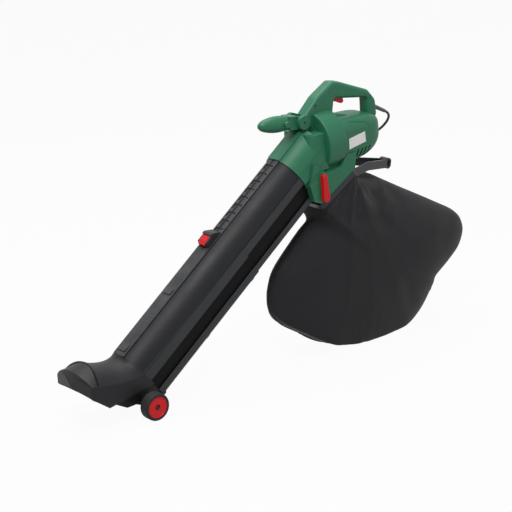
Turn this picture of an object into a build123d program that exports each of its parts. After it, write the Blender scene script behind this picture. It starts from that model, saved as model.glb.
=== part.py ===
"""Leaf blower: a blower and vacuum on two wheels, with a telescopic twin duct and a collecting bag.

The nozzle points to -X, the bag trails to +X, the machine's left side is -Y and the ground is z = 0.
Side views are drawn on SIDE, whose x runs back from the wheel axle and whose y is the height.
Duct sections are drawn across TUBE, whose x climbs along the ducts and whose y is square to them.
"""
import os
from math import asin, atan2, cos, radians, sin, sqrt, tan

from build123d import *

os.makedirs("parts", exist_ok=True)

# Layout, measured back from the axle and up from the ground
NOZZLE_TIP_X = -193
BAG_REAR_X = 1248
TUBE_TILT = 38
WHEEL_R = 38
MID_X = (NOZZLE_TIP_X + BAG_REAR_X) / 2

# Walls and clearances
WALL = 2
HOUSING_WALL = 3
SLIDE_GAP = 0.6
FIT_GAP = 0.15
MOVE_GAP = 0.5
SHAFT_GAP = 0.05

# Twin duct section, heights square to the duct from the axle line
DUCT_AXIS = 60
DUCT_R = 65
LAND_HALF = 24
LAND_TOP = 124.5
STRIP_HALF = 66.5
STRIP_TOP = 64
STRIP_LOW = 34
GROOVE_TOP_HALF = 61
GROOVE_HALF = 56
BLOW_HALF = 60
BLOW_TOP = -10
BLOW_FLOOR_HALF = 50
BLOW_SIDE_LOW = -30
BLOW_LOW = -40
PARTITION_N = 12

# Stations along the duct, from the axle line
FOOT_START = 50
SLEEVE_START = 122
LOWER_END = 486
UPPER_START = 372
SOCKET_FRONT = 752
SOCKET_DEPTH = 12
NECK_END = 872
UPPER_END = SOCKET_FRONT + SOCKET_DEPTH

SIDE = Plane(origin=(-MID_X, 0, 0), x_dir=(1, 0, 0), z_dir=(0, -1, 0))
TUBE_DIR = Vector(cos(radians(TUBE_TILT)), 0, sin(radians(TUBE_TILT)))
TUBE = Plane(origin=(-MID_X, 0, WHEEL_R), x_dir=TUBE_DIR, z_dir=(0, -1, 0))


def finish(piece, name):
    """Name a piece and write it."""
    piece.part.label = name
    export_step(piece.part, f"parts/{name}.step")


def across_tube(station):
    """The plane square to the ducts at a station: x is the machine's +Y, y is square to the ducts."""
    return Plane(origin=TUBE.from_local_coords((station, 0, 0)), x_dir=(0, 1, 0), z_dir=TUBE_DIR)


def on_tube(station, height):
    """A point given along and square to the ducts, in side view."""
    tilt = radians(TUBE_TILT)
    x = station * cos(tilt) - height * sin(tilt)
    return (x, WHEEL_R + station * sin(tilt) + height * cos(tilt))


def duct_face(plane, inset):
    """The whole outline of the twin duct, drawn in by inset."""
    land_foot = DUCT_AXIS + sqrt(DUCT_R**2 - LAND_HALF**2)
    round_end = sqrt(DUCT_R**2 - (STRIP_TOP - DUCT_AXIS) ** 2)
    middle = (asin(LAND_HALF / DUCT_R) + atan2(round_end, STRIP_TOP - DUCT_AXIS)) / 2
    crown = (DUCT_R * sin(middle), DUCT_AXIS + DUCT_R * cos(middle))
    with BuildSketch(plane) as face:
        with BuildLine():
            Polyline((0, LAND_TOP), (LAND_HALF, LAND_TOP), (LAND_HALF, land_foot))
            ThreePointArc((LAND_HALF, land_foot), crown, (round_end, STRIP_TOP))
            Polyline(
                (round_end, STRIP_TOP),
                (STRIP_HALF, STRIP_TOP),
                (STRIP_HALF, STRIP_LOW),
                (GROOVE_TOP_HALF, STRIP_LOW),
                (GROOVE_HALF, BLOW_TOP),
                (BLOW_HALF, BLOW_TOP),
                (BLOW_HALF, BLOW_SIDE_LOW),
                (BLOW_FLOOR_HALF, BLOW_LOW),
                (0, BLOW_LOW),
            )
            mirror(about=Plane.YZ)
        make_face()
        if inset:
            offset(amount=-inset, kind=Kind.INTERSECTION)
    return face.sketch


def duct_bores(plane, inset):
    """The suction bore and the blow bore, parted by a web."""
    with BuildSketch(plane) as bores:
        add(duct_face(Plane.XY, inset))
        with Locations((0, PARTITION_N)):
            Rectangle(4 * DUCT_R, WALL, mode=Mode.SUBTRACT)
    return bores.sketch


def side_face(points, corner=0):
    """A closed outline in side view, with its corners rounded."""
    with BuildSketch(SIDE) as face:
        with BuildLine():
            Polyline(*points, close=True)
        make_face()
        if corner:
            fillet(face.vertices(), corner)
    return face.sketch


def tube_side_face(points, corner=0):
    """A closed outline in side view, given along and square to the ducts."""
    return side_face([on_tube(*p) for p in points], corner)


# Upper tube: twin duct with a notch rack along its land
UPPER_INSET = WALL + SLIDE_GAP
RACK_TOP = LAND_TOP - UPPER_INSET
CHANNEL_HALF = 5
CHANNEL_DEPTH = 1.2
NOTCH_COUNT = 9
NOTCH_PITCH = 29
NOTCH_FIRST = 498
NOTCH_HALF = 15
NOTCH_LONG = 5
NOTCH_DEPTH = 2.6
BACKING_HALF = 20
BACKING_THICK = 2

with BuildPart() as upper_tube:
    length = UPPER_END - UPPER_START
    extrude(duct_face(across_tube(UPPER_START), UPPER_INSET), amount=length)
    extrude(duct_bores(across_tube(UPPER_START), UPPER_INSET + WALL), amount=length, mode=Mode.SUBTRACT)
    with BuildSketch(across_tube(UPPER_START)) as backing:
        with Locations((0, RACK_TOP - WALL - BACKING_THICK / 2)):
            Rectangle(2 * BACKING_HALF, BACKING_THICK)
    extrude(backing.sketch, amount=length)
    rack_plane = Plane(
        origin=TUBE.from_local_coords((0, RACK_TOP, 0)), x_dir=TUBE_DIR, z_dir=TUBE.y_dir
    )
    with BuildSketch(rack_plane) as rack:
        with Locations(((UPPER_START + UPPER_END) / 2, 0)):
            Rectangle(2 * length, 2 * CHANNEL_HALF)
    extrude(rack.sketch, amount=-CHANNEL_DEPTH, mode=Mode.SUBTRACT)
    with BuildSketch(rack_plane) as notches:
        for i in range(NOTCH_COUNT):
            station = NOTCH_FIRST + i * NOTCH_PITCH
            with Locations((station, 0)):
                Rectangle(NOTCH_LONG, 2 * NOTCH_HALF)
            with Locations((station - NOTCH_PITCH / 4, NOTCH_HALF - NOTCH_LONG / 2)):
                Rectangle(NOTCH_PITCH / 2, NOTCH_LONG)
    extrude(notches.sketch, amount=-NOTCH_DEPTH, mode=Mode.SUBTRACT)
finish(upper_tube, "upper_tube")

# Foot: the suction duct bends forward into a wide hood over the mouth
FOOT_FLOOR = 19
HEEL = (-126, 61)
LIP_LOW = (-178, 98)
LIP = (NOZZLE_TIP_X, 115)
LIP_HALF = 82
LIP_CORNER_X = -181
FOOT_ARCHES = [
    (on_tube(FOOT_START, FOOT_FLOOR), on_tube(FOOT_START, LAND_TOP), STRIP_HALF, STRIP_TOP - FOOT_FLOOR),
    ((-45, 73), (-66, 153), 73, 46),
    (HEEL, (-144, 170), 80, 66),
    ((-160, 86), (-186, 158), LIP_HALF, 50),
    (LIP_LOW, LIP, LIP_HALF, 21),
]
MOUTH_DROP = 40
SEAM_HIGH = (-143, 175)
SEAM_LOW = (-174, 95)
BEAD_ARCH = (SEAM_LOW, (-143.8, 173), LIP_HALF, 43)
BEAD_BACK = 1
BEAD_LONG = 6
BEAD_UNDER = [(-220, 0), (-220, 136), (-100, 136), (-100, 0)]


def arch_plane(floor, crown):
    """The plane across the machine that holds a floor point and a crown point given in side view."""
    up = Vector(crown[0] - floor[0], 0, crown[1] - floor[1])
    return Plane(origin=SIDE.from_local_coords((*floor, 0)), x_dir=(0, 1, 0), z_dir=(up.Z, 0, -up.X))


def arch_face(arch, inset=0, drop=0):
    """An arch with upright sides and a round crown, drawn in by inset, its floor lowered by drop."""
    floor, crown, half, side = arch
    high = sqrt((crown[0] - floor[0]) ** 2 + (crown[1] - floor[1]) ** 2) - inset
    low = inset - drop
    half = half - inset
    with BuildSketch(arch_plane(floor, crown)) as face:
        with BuildLine():
            Polyline((-half, side), (-half, low), (half, low), (half, side))
            ThreePointArc((half, side), (0, high), (-half, side))
        make_face()
    return face.sketch


def foot_fill(inset, drop):
    """The foot's whole inside, drawn in by inset, with its mouth lowered by drop."""
    with BuildPart(mode=Mode.PRIVATE) as fill:
        loft([arch_face(a, inset) for a in FOOT_ARCHES[:3]])
        loft([arch_face(a, inset, drop) for a in FOOT_ARCHES[2:]], ruled=True)
    return fill.part


with BuildPart() as foot:
    add(foot_fill(0, 0))
    add(foot_fill(WALL, MOUTH_DROP), mode=Mode.SUBTRACT)
    with BuildSketch(Plane(origin=(-MID_X, 0, 0))) as lip_sides:
        for turn in (1, -1):
            with BuildLine():
                Polyline(
                    (NOZZLE_TIP_X, 0),
                    (LIP_CORNER_X, turn * LIP_HALF * 1.05),
                    (NOZZLE_TIP_X - 20, turn * LIP_HALF * 1.05),
                    (NOZZLE_TIP_X - 20, 0),
                    close=True,
                )
            make_face()
    extrude(lip_sides.sketch, amount=2 * LIP[1], mode=Mode.SUBTRACT)

SEAM = Plane(
    origin=SIDE.from_local_coords((*SEAM_HIGH, 0)),
    x_dir=(0, 1, 0),
    z_dir=(SEAM_HIGH[1] - SEAM_LOW[1], 0, SEAM_LOW[0] - SEAM_HIGH[0]),
)

with BuildPart() as bead:
    extrude(arch_face(BEAD_ARCH).moved(Location(BEAD_BACK * SEAM.z_dir)), amount=BEAD_LONG)
    add(foot_fill(WALL / 2, MOUTH_DROP), mode=Mode.SUBTRACT)
    extrude(side_face(BEAD_UNDER), amount=2 * LIP_HALF, both=True, mode=Mode.SUBTRACT)


with BuildPart() as nozzle:
    add(foot.part)
    split(bisect_by=SEAM, keep=Keep.BOTTOM)
finish(nozzle, "nozzle")

# Lower tube: slides over the upper tube, carries the foot, the belly of the blow duct and the wheels
BELLY_HALF = 56
BELLY = [
    on_tube(FOOT_START + 12, FOOT_FLOOR),
    (-79, 67),
    (-106, 62),
    (-84, 50),
    (-56, 35),
    (-28, 37),
    on_tube(8, BLOW_LOW + 3),
    on_tube(FOOT_START + 12, BLOW_LOW),
]
BELLY_ROUND = 5
BLOW_SLOT = [(-88, 58), (-64, 60), (-48, 28), (-92, 30)]
BLOW_SLOT_HALF = 44
TRACK_HALF = 118
WHEEL_WIDE = 31
AXLE_R = 4
AXLE_BOSS_R = 9
WHEEL_INNER = TRACK_HALF - WHEEL_WIDE
AXLE_BOSS_HALF = WHEEL_INNER - MOVE_GAP
LATCH_HALF = 14
LATCH_LOW = 428
LATCH_HIGH = 458
LATCH_BOTTOM = LAND_TOP + 8
LATCH_CROWN = LAND_TOP + 17
LATCH_PIVOT = (441, LATCH_BOTTOM + 4)
LATCH_PIN_R = 1.6
CHEEK_THICK = 5
CHEEK_HIGH = LATCH_BOTTOM + 8
HUMP_LOW = LATCH_HIGH + MOVE_GAP
HUMP_HIGH = LAND_TOP + 20
HUMP_HALF = LATCH_HALF + MOVE_GAP + CHEEK_THICK
HUMP_ROOT = LAND_TOP - WALL
TOOTH_LONG = 6
TOOTH_HALF = 3.5
TOOTH_TIP = RACK_TOP - 0.6
WINDOW_GAP = 1.5
CLIP_STATIONS = (258, 60)
CLIP_LONG = 26
CLIP_HALF = 15
CLIP_RISE = 3
KEEPER_STATIONS = (450, 246)
KEEPER_RISE = 6
WHEEL_AXIS = Plane(origin=SIDE.from_local_coords((0, WHEEL_R, 0)), x_dir=(1, 0, 0), z_dir=(0, -1, 0))

with BuildPart() as lower_tube:
    add(foot.part)
    split(bisect_by=SEAM, keep=Keep.TOP)
    add(bead.part)
    extrude(duct_face(across_tube(FOOT_START), 0), amount=LOWER_END - FOOT_START)
    extrude(side_face(BELLY, BELLY_ROUND), amount=BELLY_HALF, both=True)
    with BuildSketch(WHEEL_AXIS) as boss:
        Circle(AXLE_BOSS_R)
    extrude(boss.sketch, amount=AXLE_BOSS_HALF, both=True)
    hump = [
        (HUMP_LOW, HUMP_ROOT),
        (HUMP_LOW, HUMP_HIGH),
        (HUMP_LOW + 8, HUMP_HIGH),
        (LOWER_END, LAND_TOP + 2),
        (LOWER_END, HUMP_ROOT),
    ]
    extrude(tube_side_face(hump), amount=HUMP_HALF, both=True)
    cheeks = [
        (LATCH_LOW, HUMP_ROOT),
        (LATCH_LOW + 6, CHEEK_HIGH),
        (HUMP_LOW, CHEEK_HIGH),
        (HUMP_LOW, HUMP_ROOT),
    ]
    extrude(tube_side_face(cheeks), amount=HUMP_HALF, both=True)
    slot = [
        (LATCH_LOW - 10, LAND_TOP),
        (LATCH_LOW - 10, HUMP_HIGH),
        (HUMP_LOW, HUMP_HIGH),
        (HUMP_LOW, LAND_TOP),
    ]
    extrude(tube_side_face(slot), amount=LATCH_HALF + MOVE_GAP, both=True, mode=Mode.SUBTRACT)
    for station in CLIP_STATIONS:
        clip = [
            (station, HUMP_ROOT),
            (station + 4, LAND_TOP + CLIP_RISE),
            (station + CLIP_LONG, LAND_TOP + 0.5),
            (station + CLIP_LONG, HUMP_ROOT),
        ]
        extrude(tube_side_face(clip), amount=CLIP_HALF, both=True)
    for station in KEEPER_STATIONS:
        keeper = [
            (station, BLOW_LOW + WALL),
            (station + 4, BLOW_LOW - KEEPER_RISE),
            (station + 16, BLOW_LOW - KEEPER_RISE),
            (station + 28, BLOW_LOW + WALL),
        ]
        extrude(tube_side_face(keeper), amount=BLOW_FLOOR_HALF - 6, both=True)
    extrude(duct_face(across_tube(SLEEVE_START), WALL), amount=LOWER_END, mode=Mode.SUBTRACT)
    extrude(
        duct_bores(across_tube(FOOT_START + 12), WALL + UPPER_INSET),
        amount=SLEEVE_START - FOOT_START,
        mode=Mode.SUBTRACT,
    )
    with BuildSketch(across_tube(FOOT_START - 2)) as throat:
        add(duct_bores(Plane.XY, WALL + UPPER_INSET).faces().sort_by(Axis.Y)[-1])
    extrude(throat.sketch, amount=20, mode=Mode.SUBTRACT)
    with BuildSketch(SIDE) as belly_room:
        add(side_face(BELLY, BELLY_ROUND).moved(SIDE.location.inverse()))
        offset(amount=-WALL, kind=Kind.INTERSECTION)
    extrude(belly_room.sketch, amount=BELLY_HALF - WALL, both=True, mode=Mode.SUBTRACT)
    extrude(side_face(BLOW_SLOT), amount=BLOW_SLOT_HALF, both=True, mode=Mode.SUBTRACT)
    extrude(boss.sketch, amount=AXLE_BOSS_HALF, both=True)
    with BuildSketch(WHEEL_AXIS) as axle_hole:
        Circle(AXLE_R + SHAFT_GAP)
    extrude(axle_hole.sketch, amount=AXLE_BOSS_HALF, both=True, mode=Mode.SUBTRACT)
    window = [
        (LATCH_HIGH - TOOTH_LONG - WINDOW_GAP, LAND_TOP - 2 * WALL),
        (LATCH_HIGH - TOOTH_LONG - WINDOW_GAP, LAND_TOP + 1),
        (LATCH_HIGH + MOVE_GAP, LAND_TOP + 1),
        (LATCH_HIGH + MOVE_GAP, LAND_TOP - 2 * WALL),
    ]
    extrude(tube_side_face(window), amount=TOOTH_HALF + WINDOW_GAP, both=True, mode=Mode.SUBTRACT)
    with BuildSketch(TUBE) as pin_hole:
        with Locations(LATCH_PIVOT):
            Circle(LATCH_PIN_R)
    extrude(pin_hole.sketch, amount=HUMP_HALF, both=True, mode=Mode.SUBTRACT)
finish(lower_tube, "lower_tube")

with BuildPart() as tube_latch:
    rocker = [
        (LATCH_LOW, LATCH_BOTTOM),
        (LATCH_LOW, LATCH_BOTTOM + 5),
        (LATCH_LOW + 12, LATCH_CROWN),
        (LATCH_HIGH, LATCH_CROWN),
        (LATCH_HIGH, LATCH_BOTTOM),
    ]
    extrude(tube_side_face(rocker, 1.5), amount=LATCH_HALF, both=True)
    tooth = [
        (LATCH_HIGH - TOOTH_LONG, TOOTH_TIP),
        (LATCH_HIGH - TOOTH_LONG, LATCH_CROWN - 3),
        (LATCH_HIGH - 2, LATCH_CROWN - 3),
        (LATCH_HIGH - 2, TOOTH_TIP),
    ]
    extrude(tube_side_face(tooth), amount=TOOTH_HALF, both=True)
    with BuildSketch(TUBE) as rocker_hole:
        with Locations(LATCH_PIVOT):
            Circle(LATCH_PIN_R + SHAFT_GAP)
    extrude(rocker_hole.sketch, amount=LATCH_HALF, both=True, mode=Mode.SUBTRACT)
finish(tube_latch, "tube_latch")

with BuildPart() as latch_pin:
    extrude(pin_hole.sketch, amount=HUMP_HALF, both=True)
finish(latch_pin, "latch_pin")

SPRING_THICK = 0.5
with BuildPart() as latch_spring:
    leaf = [
        (LATCH_LOW - 8, LAND_TOP),
        (LATCH_LOW + 6, LAND_TOP),
        (LATCH_LOW + 16, LAND_TOP + 4),
        (LATCH_LOW + 16, LAND_TOP + 4 + SPRING_THICK),
        (LATCH_LOW + 6, LAND_TOP + SPRING_THICK),
        (LATCH_LOW - 8, LAND_TOP + SPRING_THICK),
    ]
    extrude(tube_side_face(leaf), amount=5, both=True)
finish(latch_spring, "latch_spring")

# Axle, wheels and caps
HUB_R = 29.6
HUB_BORE_R = AXLE_R + SHAFT_GAP
HUB_FACE = TRACK_HALF - 1
CAP_R = 6.5
CAP_THICK = 1.6
AXLE_HALF = HUB_FACE - 3
RADIAL = Plane(origin=WHEEL_AXIS.origin, x_dir=(1, 0, 0), z_dir=(0, 0, -1))
AXLE_LINE = Axis(WHEEL_AXIS.origin, (0, 1, 0))

with BuildPart() as axle:
    with BuildSketch(WHEEL_AXIS) as rod:
        Circle(AXLE_R)
    extrude(rod.sketch, amount=AXLE_HALF, both=True)
finish(axle, "axle")

with BuildPart() as hub_left:
    with BuildSketch(RADIAL) as hub_section:
        with BuildLine():
            Polyline(
                (HUB_BORE_R, WHEEL_INNER),
                (11, WHEEL_INNER),
                (11, HUB_FACE - 15),
                (HUB_R - 4, HUB_FACE - 15),
                (HUB_R - 4, WHEEL_INNER),
                (HUB_R, WHEEL_INNER),
                (HUB_R, HUB_FACE),
                (HUB_R - 2.5, HUB_FACE),
                (HUB_R - 4, HUB_FACE - 1.5),
                (9, HUB_FACE - 0.5),
                (CAP_R + 1.5, HUB_FACE - 0.5),
                (CAP_R + 1.5, AXLE_HALF - CAP_THICK - 0.6),
                (HUB_BORE_R, AXLE_HALF - CAP_THICK - 0.6),
                close=True,
            )
        make_face()
    revolve(hub_section.sketch, axis=AXLE_LINE)
finish(hub_left, "wheel_hub_left")

with BuildPart() as hub_right:
    mirror(hub_left.part, about=Plane.XZ)
finish(hub_right, "wheel_hub_right")

with BuildPart() as tyre_left:
    with BuildSketch(RADIAL) as tyre_section:
        with BuildLine():
            Polyline(
                (HUB_R, WHEEL_INNER),
                (WHEEL_R, WHEEL_INNER),
                (WHEEL_R, TRACK_HALF),
                (HUB_R, TRACK_HALF),
                close=True,
            )
        make_face()
        fillet(tyre_section.vertices().group_by(Axis.X)[-1], 5)
    revolve(tyre_section.sketch, axis=AXLE_LINE)
finish(tyre_left, "tyre_left")

with BuildPart() as tyre_right:
    mirror(tyre_left.part, about=Plane.XZ)
finish(tyre_right, "tyre_right")

with BuildPart() as axle_caps:
    for turn in (1, -1):
        with BuildSketch(WHEEL_AXIS.offset(turn * AXLE_HALF)) as cap:
            Circle(CAP_R)
            Circle(AXLE_R, mode=Mode.SUBTRACT)
        extrude(cap.sketch, amount=-turn * CAP_THICK)
finish(axle_caps, "axle_caps")

# Housing: neck, inlet chamber, fan drum, motor barrel, outlet box and loop handle, split along y = 0
FAN_CENTRE = (651.5, 623)
MOTOR_TILT = 4
DRUM_R = 88
DRUM_WIDE = 62
DRUM_ROUND = 5
SOCKET_WALL = 3.5
SOCKET_INSET = UPPER_INSET - FIT_GAP - SOCKET_WALL
FAN_DIR = Vector(cos(radians(MOTOR_TILT)), 0, sin(radians(MOTOR_TILT)))
FAN = Plane(origin=SIDE.from_local_coords((*FAN_CENTRE, 0)), x_dir=FAN_DIR, z_dir=(0, -1, 0))
BARREL_STATIONS = [
    (DRUM_WIDE - 8, 78, 73, -4),
    (150, 68, 62, -12),
    (206, 54, 44, -5),
    (224, 38, 27, 0),
]
CHAMBER = [(598, 556), (598, 657), (660, 661), (660, 556)]
CHAMBER_HALF = 66
CHAMBER_ROUND = 22
OUTLET_FRONT = (626, 462)
OUTLET_REAR = (750, 540)
BOX_HALF = 75
BOX = [
    (584, 520),
    (598, 472),
    OUTLET_FRONT,
    OUTLET_REAR,
    (757, 588),
    (720, 588),
    (700, 556),
    (642, 549),
    (600, 580),
]
VOLUTE = [(590, 520), (640, 500), (745, 545), (750, 590), (735, 640), (640, 640), (604, 580)]
VOLUTE_HALF = 60
GRIP_HALF = 20.5
GRIP_ROUND = 10
GRIP_WALL = 5
LOOP = [
    (604, 650),
    (604, 694),
    (662, 752),
    (722, 788),
    (748, 784),
    (856, 744),
    (884, 712),
    (889, 668),
    (868, 634),
    (760, 640),
]
LOOP_CORNERS = [4, 14, 60, 16, 16, 24, 24, 18, 6, 4]
HOLE = [(729, 738), (722, 697), (852, 668), (850, 722)]
HOLE_ROUND = 9
PIVOT = (606, 692)
PIVOT_DISC_R = 20
PIVOT_HALF = 34
CHEEK_IN = 21
HORN_HUB_R = 14


def across_fan(along):
    """The plane square to the motor shaft, along from the drum's front face: x is +Y, y is up."""
    return Plane(origin=FAN.from_local_coords((along, 0, 0)), x_dir=(0, 1, 0), z_dir=FAN_DIR)


def fan_disc(along, radius, long):
    """A round slab about the motor shaft."""
    with BuildSketch(across_fan(along)) as disc:
        Circle(radius)
    return extrude(disc.sketch, amount=long, mode=Mode.PRIVATE)


def barrel_faces(inset):
    """Rounded sections of the motor barrel, from the drum to its rear end."""
    faces = []
    for along, half, high, rise in BARREL_STATIONS:
        with BuildSketch(across_fan(along)) as face:
            with Locations((0, rise)):
                RectangleRounded(2 * (half - inset), 2 * (high - inset), min(half, high) * 0.62 - inset)
        faces.append(face.sketch)
    return faces


def loop_face(inset):
    """The loop handle and its strut in side view, with the hand hole."""
    with BuildSketch(SIDE) as face:
        with BuildLine():
            FilletPolyline(*LOOP, radius=LOOP_CORNERS, close=True)
        make_face()
        if inset:
            offset(amount=-inset)
        with BuildSketch(mode=Mode.PRIVATE) as hole:
            with BuildLine():
                FilletPolyline(*HOLE, radius=HOLE_ROUND, close=True)
            make_face()
            if inset:
                offset(amount=inset)
        add(hole.sketch, mode=Mode.SUBTRACT)
    return face.sketch


with BuildPart() as loop:
    extrude(loop_face(0), amount=GRIP_HALF, both=True)
    fillet(loop.faces().filter_by(Axis.Y).edges(), GRIP_ROUND)

with BuildPart() as chamber:
    extrude(side_face(CHAMBER), amount=CHAMBER_HALF, both=True)
    fillet(chamber.edges().filter_by(Axis.Z).group_by(Axis.X)[0], CHAMBER_ROUND)

with BuildPart() as drum:
    add(fan_disc(0, DRUM_R, DRUM_WIDE))
    fillet(drum.edges(), DRUM_ROUND)

with BuildPart() as barrel:
    loft(barrel_faces(0))

with BuildPart() as barrel_room:
    loft(barrel_faces(HOUSING_WALL))

OUTLET_RUN = Vector(OUTLET_REAR[0] - OUTLET_FRONT[0], 0, OUTLET_REAR[1] - OUTLET_FRONT[1])
OUTLET_LONG = OUTLET_RUN.length
OUTLET_DIR = OUTLET_RUN.normalized()
OUTLET_DOWN = Vector(OUTLET_DIR.Z, 0, -OUTLET_DIR.X)
OUTLET = Plane(
    origin=SIDE.from_local_coords((*OUTLET_FRONT, 0)), x_dir=OUTLET_DIR, z_dir=OUTLET_DOWN
)
SOCKET_ROOM = 32
MOUTH_START = 20
MOUTH_LONG = 100
MOUTH_HALF = 62
STATOR_R = 45
STATOR_START = 78
STATOR_LONG = 52
CRADLE_THICK = 3
CRADLES = (STATOR_START + 6, STATOR_START + STATOR_LONG - 6 - CRADLE_THICK)
PLATE_THICK = 4
PLATE_START = DRUM_WIDE - HOUSING_WALL - PLATE_THICK
PLATE_R = DRUM_R - HOUSING_WALL - FIT_GAP
SHAFT_R = 4
BEARING_R = 11
BEARING_WIDE = 7
REAR_BEARING_START = 164
FLAP_PIVOT = (633, 479)
FLAP_SHAFT_R = 4
SCREW_R = 2
SCREW_HEAD_R = 4
SCREW_HEAD_LONG = 3
SCREW_WELL_DEPTH = 8
SCREWS = [((655, 728), GRIP_HALF), ((862, 724), GRIP_HALF), ((870, 660), GRIP_HALF)]
SCREW_END = 12
VENT_COUNT = 4
VENT_PITCH = 15
VENT_WIDE = 6
VENT_FIRST = 112
TRIGGER_PIN = (735, 744)
TRIGGER_PIN_R = 1.5
TRIGGER_HALF = 9
TRIGGER_SLOT = [(728, 733), (728, 759), (780, 747), (775, 721)]
SWITCH_ROOM = [(743, 751), (747, 771), (803, 753), (797, 733)]
SWITCH_HALF = 10
CORD_R = 3.75
RELIEF_R = 6.5
RELIEF_TIP_R = 5
RELIEF_SEAT = (870, 698)
RELIEF_ROOT = (888, 689)
RELIEF_TIP = (934, 666)


def side_disc(centre, radius, half):
    """A round bar across the machine, centred in side view."""
    with BuildSketch(SIDE) as disc:
        with Locations(centre):
            Circle(radius)
    return extrude(disc.sketch, amount=half, both=True, mode=Mode.PRIVATE)


def side_tube(start, end, radius, cone_radius=None):
    """A round bar in the middle plane from one point of the side view to another, tapered if asked."""
    run = Vector(end[0] - start[0], 0, end[1] - start[1])
    plane = Plane(origin=SIDE.from_local_coords((*start, 0)), x_dir=(0, 1, 0), z_dir=run)
    with BuildSketch(plane) as root:
        Circle(radius)
    if cone_radius is None:
        return extrude(root.sketch, amount=run.length, mode=Mode.PRIVATE)
    with BuildSketch(plane.offset(run.length)) as tip:
        Circle(cone_radius)
    return loft([root.sketch, tip.sketch], mode=Mode.PRIVATE)


with BuildPart() as motor_room:
    add(barrel_room.part)
    for along in CRADLES:
        add(fan_disc(along, DRUM_R, CRADLE_THICK), mode=Mode.SUBTRACT)
    add(fan_disc(REAR_BEARING_START - 1, DRUM_R, CRADLE_THICK), mode=Mode.SUBTRACT)

DIMPLE_R = 3
DIMPLE_DEEP = 6
SUCTION_ROOF = [(598, 653), (598, 720), (700, 720), (700, 653)]
BOSS_R = 8


def suction_way(bore):
    """The suction bore up to the fan, roofed where the neck ends."""
    with BuildPart(mode=Mode.PRIVATE) as way:
        extrude(bore, amount=NECK_END + 20 - SOCKET_FRONT)
        extrude(side_face(SUCTION_ROOF), amount=2 * DUCT_R, both=True, mode=Mode.SUBTRACT)
    return way.part


with BuildPart() as loop_room:
    extrude(loop_face(GRIP_WALL), amount=GRIP_HALF - GRIP_WALL, both=True)
    for centre, half in SCREWS:
        add(side_disc(centre, BOSS_R, half), mode=Mode.SUBTRACT)
    add(side_disc(TRIGGER_PIN, BOSS_R, GRIP_HALF), mode=Mode.SUBTRACT)
    add(side_disc(PIVOT, PIVOT_DISC_R + GRIP_WALL, GRIP_HALF), mode=Mode.SUBTRACT)
    add(side_tube(RELIEF_SEAT, RELIEF_TIP, RELIEF_R + HOUSING_WALL), mode=Mode.SUBTRACT)
    with BuildSketch(SIDE) as switch_wall:
        with BuildLine():
            Polyline(*SWITCH_ROOM, close=True)
        make_face()
        offset(amount=HOUSING_WALL, kind=Kind.INTERSECTION)
    extrude(switch_wall.sketch, amount=GRIP_HALF, both=True, mode=Mode.SUBTRACT)

ARROW = [(737, 677), (800, 667), (818, 652), (770, 645)]
ARROW_DEEP = 1
ARROW_INNER = 28
GROOVE_MIDDLE = (600, 541)
GROOVE_TURN = 35
GROOVE_LONG = 68
GROOVE_WIDE = 11
GROOVE_DEEP = 2
SMALL_VENTS = [(645, 550), (660, 552), (675, 554), (692, 557)]
SMALL_VENT_LONG = 10
SMALL_VENT_HIGH = 5

with BuildPart() as arrows:
    for turn in (1, -1):
        extrude(side_face(ARROW, 3).moved(Location((0, turn * ARROW_INNER, 0))), amount=-turn * DRUM_R)
    loft(barrel_faces(ARROW_DEEP), mode=Mode.SUBTRACT)

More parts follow.
